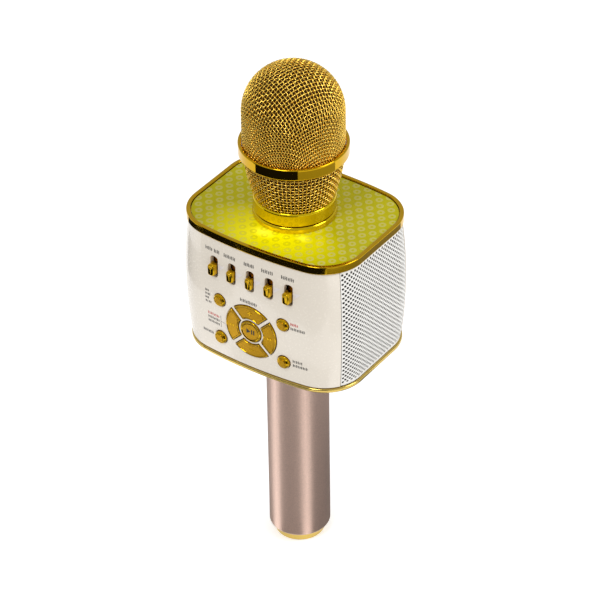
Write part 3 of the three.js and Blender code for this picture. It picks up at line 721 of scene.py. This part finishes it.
GOLD = (0.62, 0.37, 0.009)
MATERIALS = {
    "pearl_white_plastic": pearl_plastic(),
    "white_perforated_steel": powder_coat(),
    "gold_plated_plastic": gold("gold_plated_plastic", GOLD, 0.05, 0.03),
    "gold_plated_metal": gold("gold_plated_metal", GOLD, 0.03, 0.03),
    "gold_wire_mesh": wire_gold(),
    "rose_gold_aluminium": rose_aluminium(),
    "yellow_lens": lens_acrylic(),
    "black_plastic": moulded("black_plastic", (0.012, 0.012, 0.013)),
    "grey_foam": grey_foam(),
    "green_circuit_board": circuit_board(),
    "plated_steel": plated_steel(),
    "black_cone": moulded("black_cone", (0.01, 0.01, 0.01), 0.8),
    "ferrite": moulded("ferrite", (0.03, 0.03, 0.032), 0.7),
    "battery_sleeve": moulded("battery_sleeve", (0.02, 0.13, 0.28), 0.4),
}
BLACK_PRINT = ink("black_print", (0.02, 0.018, 0.017))
RED_PRINT = ink("red_print", (0.45, 0.03, 0.03))
GREY_PRINT = ink("grey_print", (0.60, 0.56, 0.54))
PALE_GOLD = gold("pale_gold_trim", (0.66, 0.48, 0.13), 0.06)
# Gold plating tinted yellow to stand in for the yellow lens mirrored in it: a painted reflection on the neck
# flange and thread ring.
NECK_GOLD_AND_LENS_REFLECTION = gold("neck_gold_painted_lens_reflection", (0.80, 0.58, 0.012), 0.07)
SATIN_GOLD = gold("satin_gold_face", (0.56, 0.30, 0.012), 0.26, 0.06)


def place(piece, body, slot, material=None):
    """Paints a piece with the material given, or else with that of its slot, and rides it on a body."""
    piece.data.materials.clear()
    piece.data.materials.append(material or MATERIALS[slot])
    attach(piece, body)


def stand_for(piece, node, body="root", material=None):
    """A piece that takes the place of one CAD node, which it hides, painted with the material given or else
    that of the node's slot, and riding on the given body.
    """
    place(piece, body, SLOTS[node], material)
    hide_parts(node)


# ---------------- box


def wall_border(start, end, spacing=1.5):
    return dense(bar(start, end, WALL_LOW, WALL_HIGH), spacing)


def loose_points(holes, spacing=2.2, margin=0.9):
    """Points of a grid over the front wall that keep clear of the holes."""
    rims = np.concatenate(holes)
    us = np.linspace(-SEAM_RUN, SEAM_RUN, round(2 * SEAM_RUN / spacing) + 1)[1:-1]
    vs = np.linspace(WALL_LOW, WALL_HIGH, round(2 * WALL_HALF / spacing) + 1)[1:-1]
    kept = []
    for u, v in itertools.product(us, vs):
        clear = np.min(np.hypot(rims[:, 0] - u, rims[:, 1] - v)) >= margin
        if clear and not any(inside(hole, u, v) for hole in holes):
            kept.append((u, v))
    return kept


def wall_panel(side, outlines, lip, mirror=(1, 1, 1)):
    """The wall from seam to seam, with openings given in front view."""
    holes = [on_front(outline).tolist() for outline in outlines]
    border = wall_border(-SEAM_RUN, SEAM_RUN)
    name = f"{side}_panel_shell"
    loose = loose_points(holes)
    panel = pierced_sheet(name, wall_point, wall_normal, border, holes, loose, WALL, lip, mirror=mirror)
    stand_for(panel, f"{side}_panel")


def front_panel():
    holes = []
    for number in FADERS:
        x, _, z = middle(f"fader_pot_{number}")
        holes.append(rounded_box(x, z, SLOT_WIDTH, SLOT_LENGTH, SLOT_CORNER, 5))
    for name in ROUND_NAMES:
        x, _, z = middle(name)
        holes.append(circle(x, z, ROUND_RADIUS + CLEARANCE, 40))
    gap = quadrant(PAD_INNER - CLEARANCE, PAD_OUTER + CLEARANCE, PAD_HALF_RIB - CLEARANCE)
    for turn in PAD_TURNS.values():
        holes.append(turned_outline(gap, turn, PLAY[0], PLAY[2]))
    holes.append(circle(PLAY[0], PLAY[2], PLAY_RADIUS + CLEARANCE, 56))
    wall_panel("front", holes, 0.4)


def rear_panel():
    holes = []
    for name in ("usb_socket", "card_slot", "charge_socket"):
        x, _, z = middle(name)
        width, _, height = high(name) - low(name) + 2 * CLEARANCE
        holes.append(dense(rounded_box(x, z, width, height, 0.5, 3), 1.5))
    x, _, z = middle("aux_jack")
    holes.append(circle(x, z, (high("aux_jack") - low("aux_jack"))[0] / 2 + CLEARANCE, 36))
    for number in SCREWS:
        x, _, z = middle(f"case_screw_{number}")
        holes.append(circle(x, z, 3.1, 36))
    wall_panel("rear", holes, 0.3, (1, -1, 1))


def side_grilles():
    """Perforated sheets: round holes in columns, each column shifted by half a pitch."""
    pitch = 2.5
    radius = 0.66
    edge = radius + 0.3
    start = SEAM_RUN + SEAM_GAP
    columns = math.floor((QUARTER - start - edge) / (pitch / 2))
    rows = math.ceil(WALL_HALF / pitch)
    holes = []
    for column in range(-columns, columns + 1):
        for row in range(-rows, rows + 1):
            v = WALL_MIDDLE + (row + 0.5 * (column % 2)) * pitch
            if WALL_LOW + edge < v < WALL_HIGH - edge:
                holes.append(circle(QUARTER + column * pitch / 2, v, radius, 12))
    border = wall_border(start, 2 * QUARTER - start, pitch / 2)

    def lay(flat, offset):
        return wall_point(flat, offset - 0.5)

    for side, sign in (("right", 1), ("left", -1)):
        name = f"perforated_sheet_{side}"
        sheet = pierced_sheet(name, lay, wall_normal, border, holes, [], 0.36, 0.06, 1, (sign, 1, 1))
        stand_for(sheet, f"side_grille_{side}")


def top_trim():
    """A slim bead with a nearly flat face, and the ledge inside it that the lens lies on."""
    base = BOX_TOP - 2 * TRIM_HALF_HEIGHT
    edge = 0.45
    out = TRIM_PROUD - edge
    bead = arc(TRIM_LIP + edge, BOX_TOP - edge, edge, 180, 90, 8)
    bead += arc(out, BOX_TOP - edge, edge, 90, 0, 12)
    bead += [(TRIM_PROUD, BOX_TOP - edge - 0.1), (TRIM_PROUD, base + edge + 0.1)]
    bead += arc(out, base + edge, edge, 0, -90, 12)
    ledge = [(-6, base), (-6, base + 1), (TRIM_LIP, base + 1)]
    stand_for(bent("top_trim_bead", (bead + ledge)[::-1]), "top_trim")


def flat_sheet(name, top, thickness, inset, bore, lip, mirror=(1, 1, 1)):
    """A level plate that fills the plan up to an inset, with a round hole in the middle."""

    def lay(flat, offset):
        return np.column_stack([flat, np.full(len(flat), top + offset)])

    def upward(flat):
        return np.tile([0.0, 0.0, 1.0], (len(flat), 1))

    x, y, nx, ny = plan_point(plan_runs(60))
    border = np.column_stack([x - inset * nx, y - inset * ny]).tolist()
    hole = circle(0, 0, bore + CLEARANCE, 96)
    return pierced_sheet(name, lay, upward, border, [hole], [], thickness, lip, mirror=mirror)


def top_lens():
    top = high("top_lens")[2]
    lens = flat_sheet("lens_plate", top, top - low("top_lens")[2], 1.6, SPIGOT_RADIUS, 0.25)
    stand_for(lens, "top_lens")


def bottom_parts():
    bottom = low("bottom_trim")[2]
    top = high("bottom_trim")[2]
    profile = [(-2.3, bottom), (-0.2, bottom), (0.3, bottom + 0.5)]
    profile += [(0.3, top - 0.4), (-0.1, top), (-2.3, top)]
    stand_for(bent("bottom_trim_strip", rounded(profile, 0.25, 3), 50), "bottom_trim", "root", PALE_GOLD)
    under = low("bottom_plate")[2]
    thickness = high("bottom_plate")[2] - under
    plate = flat_sheet("bottom_plate_moulding", -under, thickness, 2.6, HANDLE_RADIUS, 0.3, (1, 1, -1))
    stand_for(plate, "bottom_plate")


# ---------------- controls


def lay_depth(flat, height):
    """Front-view points (x, z) on the upright plane y = -height."""
    x, z = np.asarray(flat, float).T
    return np.column_stack([x, np.full(len(x), -height), z])


def lay_proud(flat, height):
    """Front-view points at a height above the panel's surface."""
    x, z = np.asarray(flat, float).T
    return np.column_stack([x, wall_point(on_front(flat))[:, 1] - height, z])


def lay_control(flat, height):
    """Heights above -3 follow the panel; lower ones are flat, at that depth behind the front."""
    return lay_proud(flat, height) if height > -3 else lay_depth(flat, FRONT + height)


def lifted(rows, height):
    return [(inset, height + rise) for inset, rise in rows]


def ride_along(name, body, outline_at, rows, lay, material=SATIN_GOLD, sharp=40):
    """A raised gold piece that moves with a control."""
    place(raised(name, outline_at, rows, lay, sharp), body, "gold_plated_plastic", material)


def key_pair(name, outline_at, key, inlay, lay, sharp):
    """A key that stands for its CAD node, and the satin face let into it."""
    stand_for(raised(f"{name}_key", outline_at, key, lay, sharp), name, f"{name}_cap")
    ride_along(f"{name}_face", f"{name}_cap", outline_at, inlay, lay, SATIN_GOLD, sharp)


def fader_knobs():
    cap = [(0, -0.75), (0.12, -0.3), (0.42, -0.05), (0.6, 0), (0.75, -0.02), (0.95, -0.09)]
    ridge = [(-1.25, 1.55), (0, 0.75), (1.25, 1.55), (1.25, 2.1), (0, 1.3), (-1.25, 2.1)]
    for number in FADERS:
        name = f"fader_knob_{number}"
        body = f"fader_{number}"
        x, _, z = middle(name)
        face = -low(name)[1]
        panel = -lay_proud([(x, z)], 0)[0][1]

        def cap_outline(inset):
            return rounded_box(x, z, 3.8 - 2 * inset, 6.2 - 2 * inset, 1.25 - inset, 5)

        rows = [(0, panel - 3.6), *lifted(cap, face)]
        stand_for(raised(f"knob_cap_{number}", cap_outline, rows, lay_depth, 60), name, body)
        skirt = plain(rounded_box(x, z, 5.8, 16.8, 0.6, 3))
        rows = lifted([(0.3, -4.15), (0, -3.95), (0, -3.4), (0.2, -3.2)], panel)
        ride_along(f"knob_skirt_{number}", body, skirt, rows, lay_depth)
        rows = lifted([(0, -0.3), (0, 0.02), (0.12, 0.14)], face)
        ride_along(f"knob_ridge_{number}", body, plain(moved_outline(ridge, x, z)), rows, lay_depth, None)


def round_buttons():
    key = [(-1.1, -6.9), (-1.1, -6.2), (0, -6.1), (0, -1.5), (0.1, -1.2), (0.65, -0.75), (0.85, -0.72)]
    key += [(1.0, -0.85), (1.15, -0.85), (1.6, -0.85)]
    inlay = [(1.2, -1.0), (1.2, -0.72), (1.5, -0.52), (1.6, -0.52), (2.0, -0.52)]
    for name in ROUND_NAMES:
        x, _, z = middle(name)
        face = -low(name)[1]

        def outline_at(inset):
            return circle(x, z, ROUND_RADIUS - inset, 48)

        key_pair(name, outline_at, lifted(key, face), lifted(inlay, face), lay_depth, 28)


def pads():
    key = [(0, -4.4), (0, -1.0), (0, 0.35), (0.08, 0.55), (0.28, 0.68), (0.5, 0.6), (0.65, 0.3), (0.9, 0.3)]
    inlay = [(0.68, 0.2), (0.68, 0.36), (0.76, 0.42), (0.9, 0.42), (1.2, 0.42)]
    for name, turn in PAD_TURNS.items():

        def outline_at(inset):
            shape = quadrant(PAD_INNER + inset, PAD_OUTER - inset, PAD_HALF_RIB + inset)
            return turned_outline(shape, turn, PLAY[0], PLAY[2])

        key_pair(name, outline_at, key, inlay, lay_control, 50)
        a = math.radians(turn + 90)
        spot = (PLAY[0] + 11 * math.cos(a), PLAY[2] + 11 * math.sin(a))
        icons(name, PAD_ICONS[name], spot, [(0, 0.35), (0, 0.5), (0.05, 0.56)], None)


def play_button():
    key = [(0, -4.4), (0, 0.1), (0.06, 0.4), (0.3, 0.6), (0.7, 0.55), (1.0, 0.25), (1.4, 0.25)]
    inlay = [(1.0, 0.15), (1.0, 0.3), (1.1, 0.36), (2.0, 0.3), (2.3, 0.3), (3.0, 0.3)]

    def outline_at(inset):
        return circle(PLAY[0], PLAY[2], PLAY_RADIUS - inset, 64)

    key_pair("button_play", outline_at, key, inlay, lay_control, 50)
    shapes = [arrow(-2.3, -0.1, 1.35), bar(0.4, 1.0, -1.3, 1.3), bar(1.6, 2.2, -1.3, 1.3)]
    icons("button_play", shapes, (PLAY[0], PLAY[2]), [(0, 0.25), (0, 0.37)], BLACK_PRINT)


def arrow(base, tip, half):
    """A triangle with an upright base, which points sideways at its tip."""
    corners = [(base, -half), (tip, 0), (base, half)]
    return corners if tip > base else corners[::-1]


# Generic marks: plus, minus, and pairs of triangles
PAD_ICONS = {
    "pad_up": [bar(-1.3, 1.3, -0.25, 0.25), bar(-0.25, 0.25, -1.3, -0.25), bar(-0.25, 0.25, 0.25, 1.3)],
    "pad_down": [bar(-1.3, 1.3, -0.25, 0.25)],
    "pad_left": [arrow(-0.2, -1.5, 0.8), arrow(1.3, 0, 0.8)],
    "pad_right": [arrow(0.2, 1.5, 0.8), arrow(-1.3, 0, 0.8)],
}


def icons(name, shapes, spot, rows, material):
    for number, shape in enumerate(shapes, 1):
        outline = plain(moved_outline(shape, *spot))
        ride_along(f"{name}_icon_{number}", f"{name}_cap", outline, rows, lay_control, material)


# ---------------- printed marks


def marks(name, shapes, material):
    """Thin printed shapes on the front panel, each an outline of (x, height below the box's top)."""
    points = []
    faces = []
    for shape in shapes:
        outline = dense([(x, BOX_TOP + z) for x, z in shape], 1.0)
        more, cells = stacked(plain(outline), [(0, -0.02), (0, 0.03)], lay_proud)
        faces += [[len(points) + corner for corner in face] for face in cells]
        points += more
    place(smooth_mesh(name, points, faces, 30), "root", "pearl_white_plastic", material)


def strokes(x0, x1, z_low, z_high, gap=None):
    """A stand-in for a word: a row of short upright strokes, which may have a gap at one place."""
    width = 0.42
    count = max(2, round((x1 - x0) / 0.9))
    step = (x1 - x0) / count
    level = (z_low + z_high) / 2
    shapes = []
    for k in range(count):
        if k == gap:
            continue
        left = x0 + step * (k + 0.5) - width / 2
        drop = 0.15 * (z_high - z_low) if k % 3 == 1 else 0
        shapes.append(bar(left, left + width, z_low, z_high - drop))
        if k % 2 == 0:
            shapes.append(bar(left + width, left + width + 0.3, level - 0.12, level + 0.12))
    return shapes


# Stand-ins for words: from x, to x, height of the foot and of the head below the box's top
FADER_WORDS = [(-27, -18), (-15.6, -8.4), (-3.6, 2.4), (6.4, 13.1), (17.4, 24.6)]
BLACK_WORDS = [
    (-6, 4, -33.2, -31.3),
    (-27.6, -25.2, -36.2, -34.9),
    (-27.6, -24.2, -38.35, -37.05),
    (-27.6, -25.2, -40.5, -39.2),
    (-27.6, -23.6, -42.65, -41.35),
    (-26.3, -18.9, -51.6, -50.1),
    (-26.3, -18.9, -53.9, -52.4),
    (-30, -23.2, -61.0, -59.4),
    (22.4, 30.2, -39.6, -38.0),
    (23, 28.5, -58.9, -57.3),
    (23, 31, -61.4, -59.8),
]
RED_WORDS = [(-26.3, -18.9, -49.3, -47.8), (22.4, 26.6, -37.0, -35.4)]


def printed_marks():
    black = [bar(-18.2, -18.0, -54.2, -47.3), bar(-18.0, -15.6, -51.0, -50.8)]
    for number, (left, right) in enumerate(FADER_WORDS):
        black += strokes(left, right, -11.9, -9.9, None if number else 5)
    for word in BLACK_WORDS:
        black += strokes(*word)
    marks("printed_black_marks", black, BLACK_PRINT)
    marks("printed_red_marks", [shape for word in RED_WORDS for shape in strokes(*word)], RED_PRINT)
    centre = PLAY[2] - BOX_TOP
    grey = [arc(PLAY[0], centre, 15.75, 184, 226, 14) + arc(PLAY[0], centre, 15.55, 226, 184, 14)]
    for number in FADERS:
        x = middle(f"fader_pot_{number}")[0]
        grey.append([(x + 2.8, -21.6), (x + 6.6, -17.9), (x + 2.8, -17.9)])
    marks("printed_grey_marks", grey, GREY_PRINT)


# ---------------- head


WIRE = 0.31
CRIMP = 0.85 * WIRE
PITCH = 1.88
BASKET_PITCH = 1.85


def woven(name, knots, normal_at, seam=None):
    """Warp and weft wires through knots[i, j], crimped so that they pass over and under each other.

    In a closed net the column numbered seam repeats column 0, and gets no warp wire of its own.
    """
    made = []
    sides = 5
    for family, thread in enumerate(("weft", "warp")):
        shell = Shell()
        for row in wire_rows(knots, family):
            if family == 1 and row[0][0] == seam:
                continue
            corners = np.array([knots[key] for key in row])
            lifts = np.array([1.0 if (sum(key) + family) % 2 == 0 else -1.0 for key in row])
            steps = np.arange(4 * len(row) - 3) / 4
            whole = np.arange(len(row))
            track = np.stack([np.interp(steps, whole, corners[:, k]) for k in range(3)], axis=1)
            crimp = np.sign(np.interp(steps, whole, lifts)) * np.abs(np.cos(math.pi * steps)) ** 0.8
            up = np.array([normal_at(spot) for spot in track])
            track = track + up * (CRIMP * crimp)[:, None]
            along = unit(np.gradient(track, axis=0))
            across = unit(np.cross(along, up))
            up = np.cross(across, along)
            rings = []
            for spot, right, rise in zip(track, across, up):
                turns = np.arange(sides) * 2 * math.pi / sides
                out = np.outer(np.cos(turns), rise) + np.outer(np.sin(turns), right)
                rings.append((shell.add(spot + WIRE * out), out))
            for (first, first_out), (second, second_out) in zip(rings, rings[1:]):
                shell.strip(first, second, first_out, second_out, False)
            shell.face(rings[0][0][None, ::-1], np.tile(-along[0], (1, sides, 1)))
            shell.face(rings[-1][0][None, :], np.tile(along[-1], (1, sides, 1)))
        made.append(shell.build(f"{name}_{thread}"))
    return made


def wire_rows(knots, family):
    """Rows of keys along one direction of the net."""
    rows = {}
    for key in sorted(knots):
        rows.setdefault(key[1 - family], []).append(key)
    return [row for row in rows.values() if len(row) > 1]


def mesh_pair(wires, node):
    """The warp stands for the CAD node, and the weft rides along with it."""
    stand_for(wires[1], node, "grille_head")
    place(wires[0], "grille_head", SLOTS[node])


def dome_mesh():
    """A flat square net pressed over the dome, with the distances from its pole kept."""
    radius = DOME_RADIUS - WIRE - CRIMP
    quarter = radius * HALF_PI
    reach = quarter + DOME_CENTRE - DOME_BOTTOM - 0.6
    net_turn = math.radians(-22.5)
    limit = int(reach / PITCH) + 1
    knots = {}
    for i in range(-limit, limit + 1):
        for j in range(-limit, limit + 1):
            distance = PITCH * math.hypot(i, j)
            if distance > reach:
                continue
            slope = min(distance, quarter) / radius
            height = DOME_CENTRE + radius * math.cos(slope) - max(0, distance - quarter)
            knots[i, j] = polar(radius * math.sin(slope), math.atan2(j, i) + net_turn, height)

    def normal_at(spot):
        return unit(np.array([spot[0], spot[1], max(0.0, spot[2] - DOME_CENTRE)]))

    mesh_pair(woven("woven_dome", knots, normal_at), "grille_dome")


def basket_mesh():
    """Upright wires and rings of the tapered basket below the band."""
    foot = RING_HIGH - 0.6
    wall = [(19.0, foot), (19.3, foot + 0.8), (20.7, BOX_TOP + 15.5), (22.0, BOX_TOP + 21)]
    wall += [(23.1, BOX_TOP + 27), (23.7, BAND_LOW + 2.8)]
    wall = np.array(wall)
    lengths = np.concatenate([[0], np.cumsum(np.linalg.norm(np.diff(wall, axis=0), axis=1))])
    mean_radius = 21.8
    count = 2 * round(math.pi * mean_radius / BASKET_PITCH)
    rows = round(lengths[-1] / BASKET_PITCH)
    seam_turn = math.radians(125)
    knots = {}
    for j in range(rows + 1):
        distance = lengths[-1] * j / rows
        radius, height = [float(np.interp(distance, lengths, wall[:, k])) for k in (0, 1)]
        for i in range(count + 1):
            knots[i, j] = polar(radius, seam_turn + 2 * math.pi * i / count, height)

    taper = 0.18

    def normal_at(spot):
        return unit(np.array([*unit(spot[:2]), -taper]))

    mesh_pair(woven("woven_basket", knots, normal_at, count), "grille_basket")


def turned_part(name, node, profile, corner, body="root", material=None, segments=128):
    """A lathed piece with rounded corners that stands for a CAD node."""
    stand_for(lathe(name, rounded(profile, *corner), segments), node, body, material)


def head_rings():
    bore = DOME_RADIUS + 0.02
    band = bar(bore, BAND_RADIUS, BAND_LOW, BAND_HIGH)
    turned_part("head_band", "grille_band", band, (0.75, 6), "grille_head", segments=160)
    bore = SPIGOT_RADIUS + 0.4
    ring = [(bore, RING_LOW), (RING_RADIUS - 0.5, RING_LOW), (RING_RADIUS, RING_LOW + 0.6)]
    ring += [(RING_RADIUS, RING_HIGH - 0.9), (RING_RADIUS - 0.5, RING_HIGH), (bore, RING_HIGH)]
    turned_part("thread_ring", "grille_thread_ring", ring, (0.35,), "grille_head", NECK_GOLD_AND_LENS_REFLECTION)


def neck_collar():
    """The flange under the thread ring, and the spigot with its screw thread above it."""
    bottom = low("neck_collar")[2]
    top = high("neck_collar")[2]
    flange = high("neck_collar")[0]
    ledge = BOX_TOP - 0.7
    shoulder = BOX_TOP + 2.4
    core = SPIGOT_RADIUS - 0.7
    profile = [(NECK_BORE, bottom), (SPIGOT_RADIUS, bottom), (SPIGOT_RADIUS, ledge), (flange - 0.1, ledge)]
    profile += [(flange, ledge + 0.9), (flange - 0.15, shoulder - 0.7), (flange - 0.7, shoulder)]
    profile += [(core, shoulder), (core, top), (NECK_BORE, top)]
    turned_part("neck_flange", "neck_collar", profile, (0.3,), "root", NECK_GOLD_AND_LENS_REFLECTION)
    thread(shoulder, top - 0.3)


def thread(bottom, top):
    """A screw thread round the spigot that runs out at its upper end."""
    pitch, steps, rows = 1.5, 96, 64
    points = []
    for row, height in enumerate(np.linspace(bottom, top, rows)):
        fade = min(1, (rows - 1 - row) / 6)
        for k in range(steps):
            turn = 2 * math.pi * k / steps
            phase = (height / pitch - k / steps) % 1
            depth = 0.62 * min(1, abs(2 * phase - 1) * 1.5)
            radius = SPIGOT_RADIUS - 0.68 + (0.68 - depth) * fade
            points.append(polar(radius, turn, height))
    faces = grid_faces(rows, steps)
    faces.append(list(range(steps))[::-1])
    faces.append(list(range((rows - 1) * steps, rows * steps)))
    place(smooth_mesh("neck_thread", points, faces, 50), "root", "gold_plated_metal")


def windscreen():
    """Open-cell foam liner: a crowned form with a pitted skin."""
    seat = low("windscreen_foam")[2]
    radius = high("windscreen_foam")[0]
    crown = high("windscreen_foam")[2] - radius
    profile = [(0, crown - 9), (13, crown - 13), (13, seat), (17, seat), (20.2, seat + 8), (21.7, seat + 19)]
    profile += [(radius, seat + 28)] + arc(0, crown, radius, 0, 90, 30)[1:-1] + [(0, crown + radius)]
    foam = lathe("windscreen_liner", profile, 120, 180)
    for vertex in foam.data.vertices:
        spot = vertex.co / MM
        pits = noise.noise(spot * 1.6) + 0.5 * noise.noise(spot * 3.7)
        out = Vector((spot.x, spot.y, max(0, spot.z - crown)))
        if out.length > 1:
            vertex.co = (spot + out.normalized() * (0.2 * pits - 0.2)) * MM
    stand_for(foam, "windscreen_foam", "windscreen")


# ---------------- handle


def handle():
    edge = arc(HANDLE_RADIUS - 1.6, HANDLE_LOW + 1.6, 1.6, -80, 0, 10)
    tube = [(HANDLE_BORE, HANDLE_LOW)] + edge + [(HANDLE_RADIUS, HANDLE_LOW + 1.8)]
    tube += [(HANDLE_RADIUS, HANDLE_HIGH), (HANDLE_BORE, HANDLE_HIGH)]
    stand_for(lathe("handle_sleeve", tube, 160), "handle_tube")
    outer = high("end_ring")[0]
    top = high("end_ring")[2]
    ring = [(9.6, 0), (12.2, 0), (12.8, 0.6), (outer, 4.7), (outer, top), (11, top), (9.6, 4)]
    turned_part("end_bezel", "end_ring", ring, (0.35,), "root", PALE_GOLD)
    cap = high("end_cap")[0]
    height = high("end_cap")[2]
    profile = [(0, height), (cap, height), (cap, 0.35), (cap - 0.35, 0), (cap - 1.4, 0), (cap - 1.6, 0.35)]
    profile += [(cap - 4.6, 0.35), (cap - 4.8, 0), (0, 0)]
    stand_for(lathe("end_cap_disc", profile[::-1], 96), "end_cap")


# ---------------- case screws


def case_screws():
    """Screw heads with a cross recess, and the seats that they clamp."""
    seat = bar(1.5, 3.2, -1.85, -1.05)
    for number in SCREWS:
        name = f"case_screw_{number}"
        x, _, z = middle(name)
        y = high(name)[1]
        washer = lathe(f"screw_seat_{number}", seat, 40)
        washer.data.transform(Matrix.Translation(Vector((x, y, z)) * MM) @ Matrix.Rotation(-HALF_PI, 4, "X"))
        place(washer, "root", "pearl_white_plastic")
        stand_for(cross_screw(f"case_screw_head_{number}", x, y, z), name)


def cross_screw(name, x, y, z):
    """A screw that faces the rear, with a domed head and a cross cut in it."""
    arm, half, radius = 1.45, 0.24, 2.35
    corners = [(half, half), (half, arm), (-half, arm)]
    cross = [point for turn in range(4) for point in turned_outline(corners, 90 * turn)]
    rim = circle(0, 0, radius, 32)
    loose = circle(0, 0, 1.9, 24)
    rearward = [0.0, 1.0, 0.0]

    def lay(points, depth):
        points = np.asarray(points, float)
        dome = -0.035 * np.sum(points**2, axis=1)
        return np.column_stack([x + points[:, 0], y + dome - depth, z + points[:, 1]])

    shell = Shell()
    flat = np.array(rim + cross + loose)
    up = unit(np.column_stack([0.07 * flat[:, 0], np.ones(len(flat)), 0.07 * flat[:, 1]]))
    top = shell.add(lay(flat, 0))
    triangles = triangulate([rim, cross], loose)[:, ::-1]
    shell.face(top[triangles], up[triangles])
    count = len(rim)
    floor = shell.add(lay(cross, 0.55))
    side = np.tile(rearward, (len(cross), 1))
    shell.strip(top[count : count + len(cross)], floor, side, side, True)
    floor_faces = np.array(cap_triangles(cross))[:, ::-1]
    shell.face(floor[floor_faces], np.tile(rearward, (len(floor_faces), 3, 1)))
    last = top[:count]
    rim = np.array(rim) / radius
    normals = np.column_stack([rim[:, 0], np.full(count, 0.4), rim[:, 1]])
    for reach, drop in ((2.68, 0.45), (2.7, 0.8), (1.2, 0.95), (1.2, 7.6)):
        level = np.full(count, y - drop)
        row = shell.add(np.column_stack([x + reach * rim[:, 0], level, z + reach * rim[:, 1]]))
        shell.strip(last, row, normals, normals, False)
        last = row
    shell.face(last[None, :], np.tile([0.0, -1.0, 0.0], (1, count, 1)))
    return shell.build(name)


# ---------------- CAD nodes that stay


def paint_kept_nodes():
    for node, slot in SLOTS.items():
        kept = frame["nodes"][node]
        if kept.hide_render:
            continue
        kept.data.materials.clear()
        kept.data.materials.append(MATERIALS[slot])
        kept.data.set_sharp_from_angle(angle=math.radians(32))


# ---------------- studio


def stage_look(name, brightness, glow, shine):
    color = (brightness, brightness, brightness)
    look = Look(name, color, 0.7)
    look.set("Specular IOR Level", shine)
    look.drive("Base Color", look.mix(look.noise(3, 2), shade(color, 0.995), color))
    look.set("Emission Color", (*color, 1))
    look.set("Emission Strength", glow)
    return look.material


def studio():
    size = 4000
    corners = [(-size, -size, 0), (size, -size, 0), (size, size, 0), (-size, size, 0)]
    floor = smooth_mesh("floor", corners, [[0, 1, 2, 3]])
    floor.data.materials.append(stage_look("floor_paper", 0.93, 0.4, 0.5))

    world = bpy.data.worlds.new("studio")
    bpy.context.scene.world = world
    world.use_nodes = True
    background = world.node_tree.nodes["Background"]
    background.inputs["Color"].default_value = (1, 1, 1, 1)
    background.inputs["Strength"].default_value = 0.6

    area_light("key", (0.05, -0.9, 1.35), 7)
    area_light("rim", (0.9, 0.3, 0.9), 5)
    reflection_cards()


def area_light(name, spot, watts):
    data = bpy.data.lights.new(name, "AREA")
    data.shape = "SQUARE"
    data.size = 0.5
    data.energy = watts
    lamp = link(name, data)
    aim = Vector((0, 0, 0.15)) - Vector(spot)
    lamp.matrix_world = Matrix.Translation(spot) @ aim.to_track_quat("-Z", "Y").to_matrix().to_4x4()


def floor_card(name, columns, brightness, glow=0.0):
    """A card that only polished surfaces see, swept through columns of points."""
    faces = grid_faces(len(columns), len(columns[0]), ring=False)
    card = smooth_mesh(name, [point for column in columns for point in column], faces)
    card.data.materials.append(stage_look(name, brightness, glow, 0.0))
    card.visible_camera = False
    card.visible_diffuse = False
    card.visible_shadow = False
    card.visible_transmission = False


def sector_card(name, start, end, rows, brightness, edge=0.0):
    """Rows of (radius, height) over a sector in degrees, kept edge or more in front of the axis."""
    columns = []
    for a in np.radians(np.linspace(start, end, 17)):
        columns.append([polar(max(radius, edge / abs(math.sin(a))), a, z) for radius, z in rows])
    floor_card(name, columns, brightness)


def stripe_card(name, first, last, brightness, glow=0.0):
    """The part of the floor that the handle mirrors between two directions on its round side."""
    view_turn = math.radians(55)
    columns = []
    for a in np.radians(np.linspace(first, last, 17)):
        mirrored = 2 * a + view_turn
        columns.append([polar(HANDLE_RADIUS, a, 2) + polar(reach, mirrored, 0) for reach in (1.0, 176.0)])
    floor_card(name, columns, brightness, glow)


def reflection_cards():
    """Cards that give the chrome its black bands and the handle its soft stripes."""
    sector_card("front_card", -127, -48, [(100, 2), (520, 2), (520, 250)], 0.012, 243)
    sector_card("left_card", -139, -127, [(265, 2), (520, 2), (520, 250)], 0.012)
    sector_card("trim_card_left", -190, -139, [(265, 2), (335, 2)], 0.012)
    sector_card("trim_card_right", -48, 70, [(262, 2), (328, 2)], 0.3)
    sector_card("band_card", -48, 35, [(331, 2), (420, 2)], 0.45)
    stripe_card("stripe_card_front", -94, -50, 0.38)
    stripe_card("stripe_card_right", -33, 31, 0.22)
    stripe_card("stripe_card_left", -156, -113, 0.42)
    stripe_card("stripe_light_left", -112, -95, 0.9, 1.0)
    stripe_card("stripe_light_right", -47, -37, 0.9, 0.6)


def camera():
    """The photograph's viewing angle, with a long lens."""
    azimuth, tilt, roll = [math.radians(angle) for angle in (35.03, 90 - 35.83, -0.92)]
    distance, shift, target = 1.4815, 0.00173, 0.1423
    data = bpy.data.cameras.new("camera")
    data.angle = math.radians(11.27)
    data.clip_start = 0.1
    data.clip_end = 50
    made = link("camera", data)
    view = Matrix.Translation((0, 0, target)) @ Matrix.Rotation(azimuth, 4, "Z") @ Matrix.Rotation(tilt, 4, "X")
    made.matrix_world = view @ Matrix.Translation((shift, 0, distance)) @ Matrix.Rotation(roll, 4, "Z")
    bpy.context.scene.camera = made


camera()
front_panel()
rear_panel()
side_grilles()
top_trim()
top_lens()
bottom_parts()
fader_knobs()
round_buttons()
pads()
play_button()
printed_marks()
dome_mesh()
basket_mesh()
head_rings()
neck_collar()
windscreen()
handle()
case_screws()
paint_kept_nodes()
studio()

bpy.context.scene.view_settings.view_transform = "Standard"
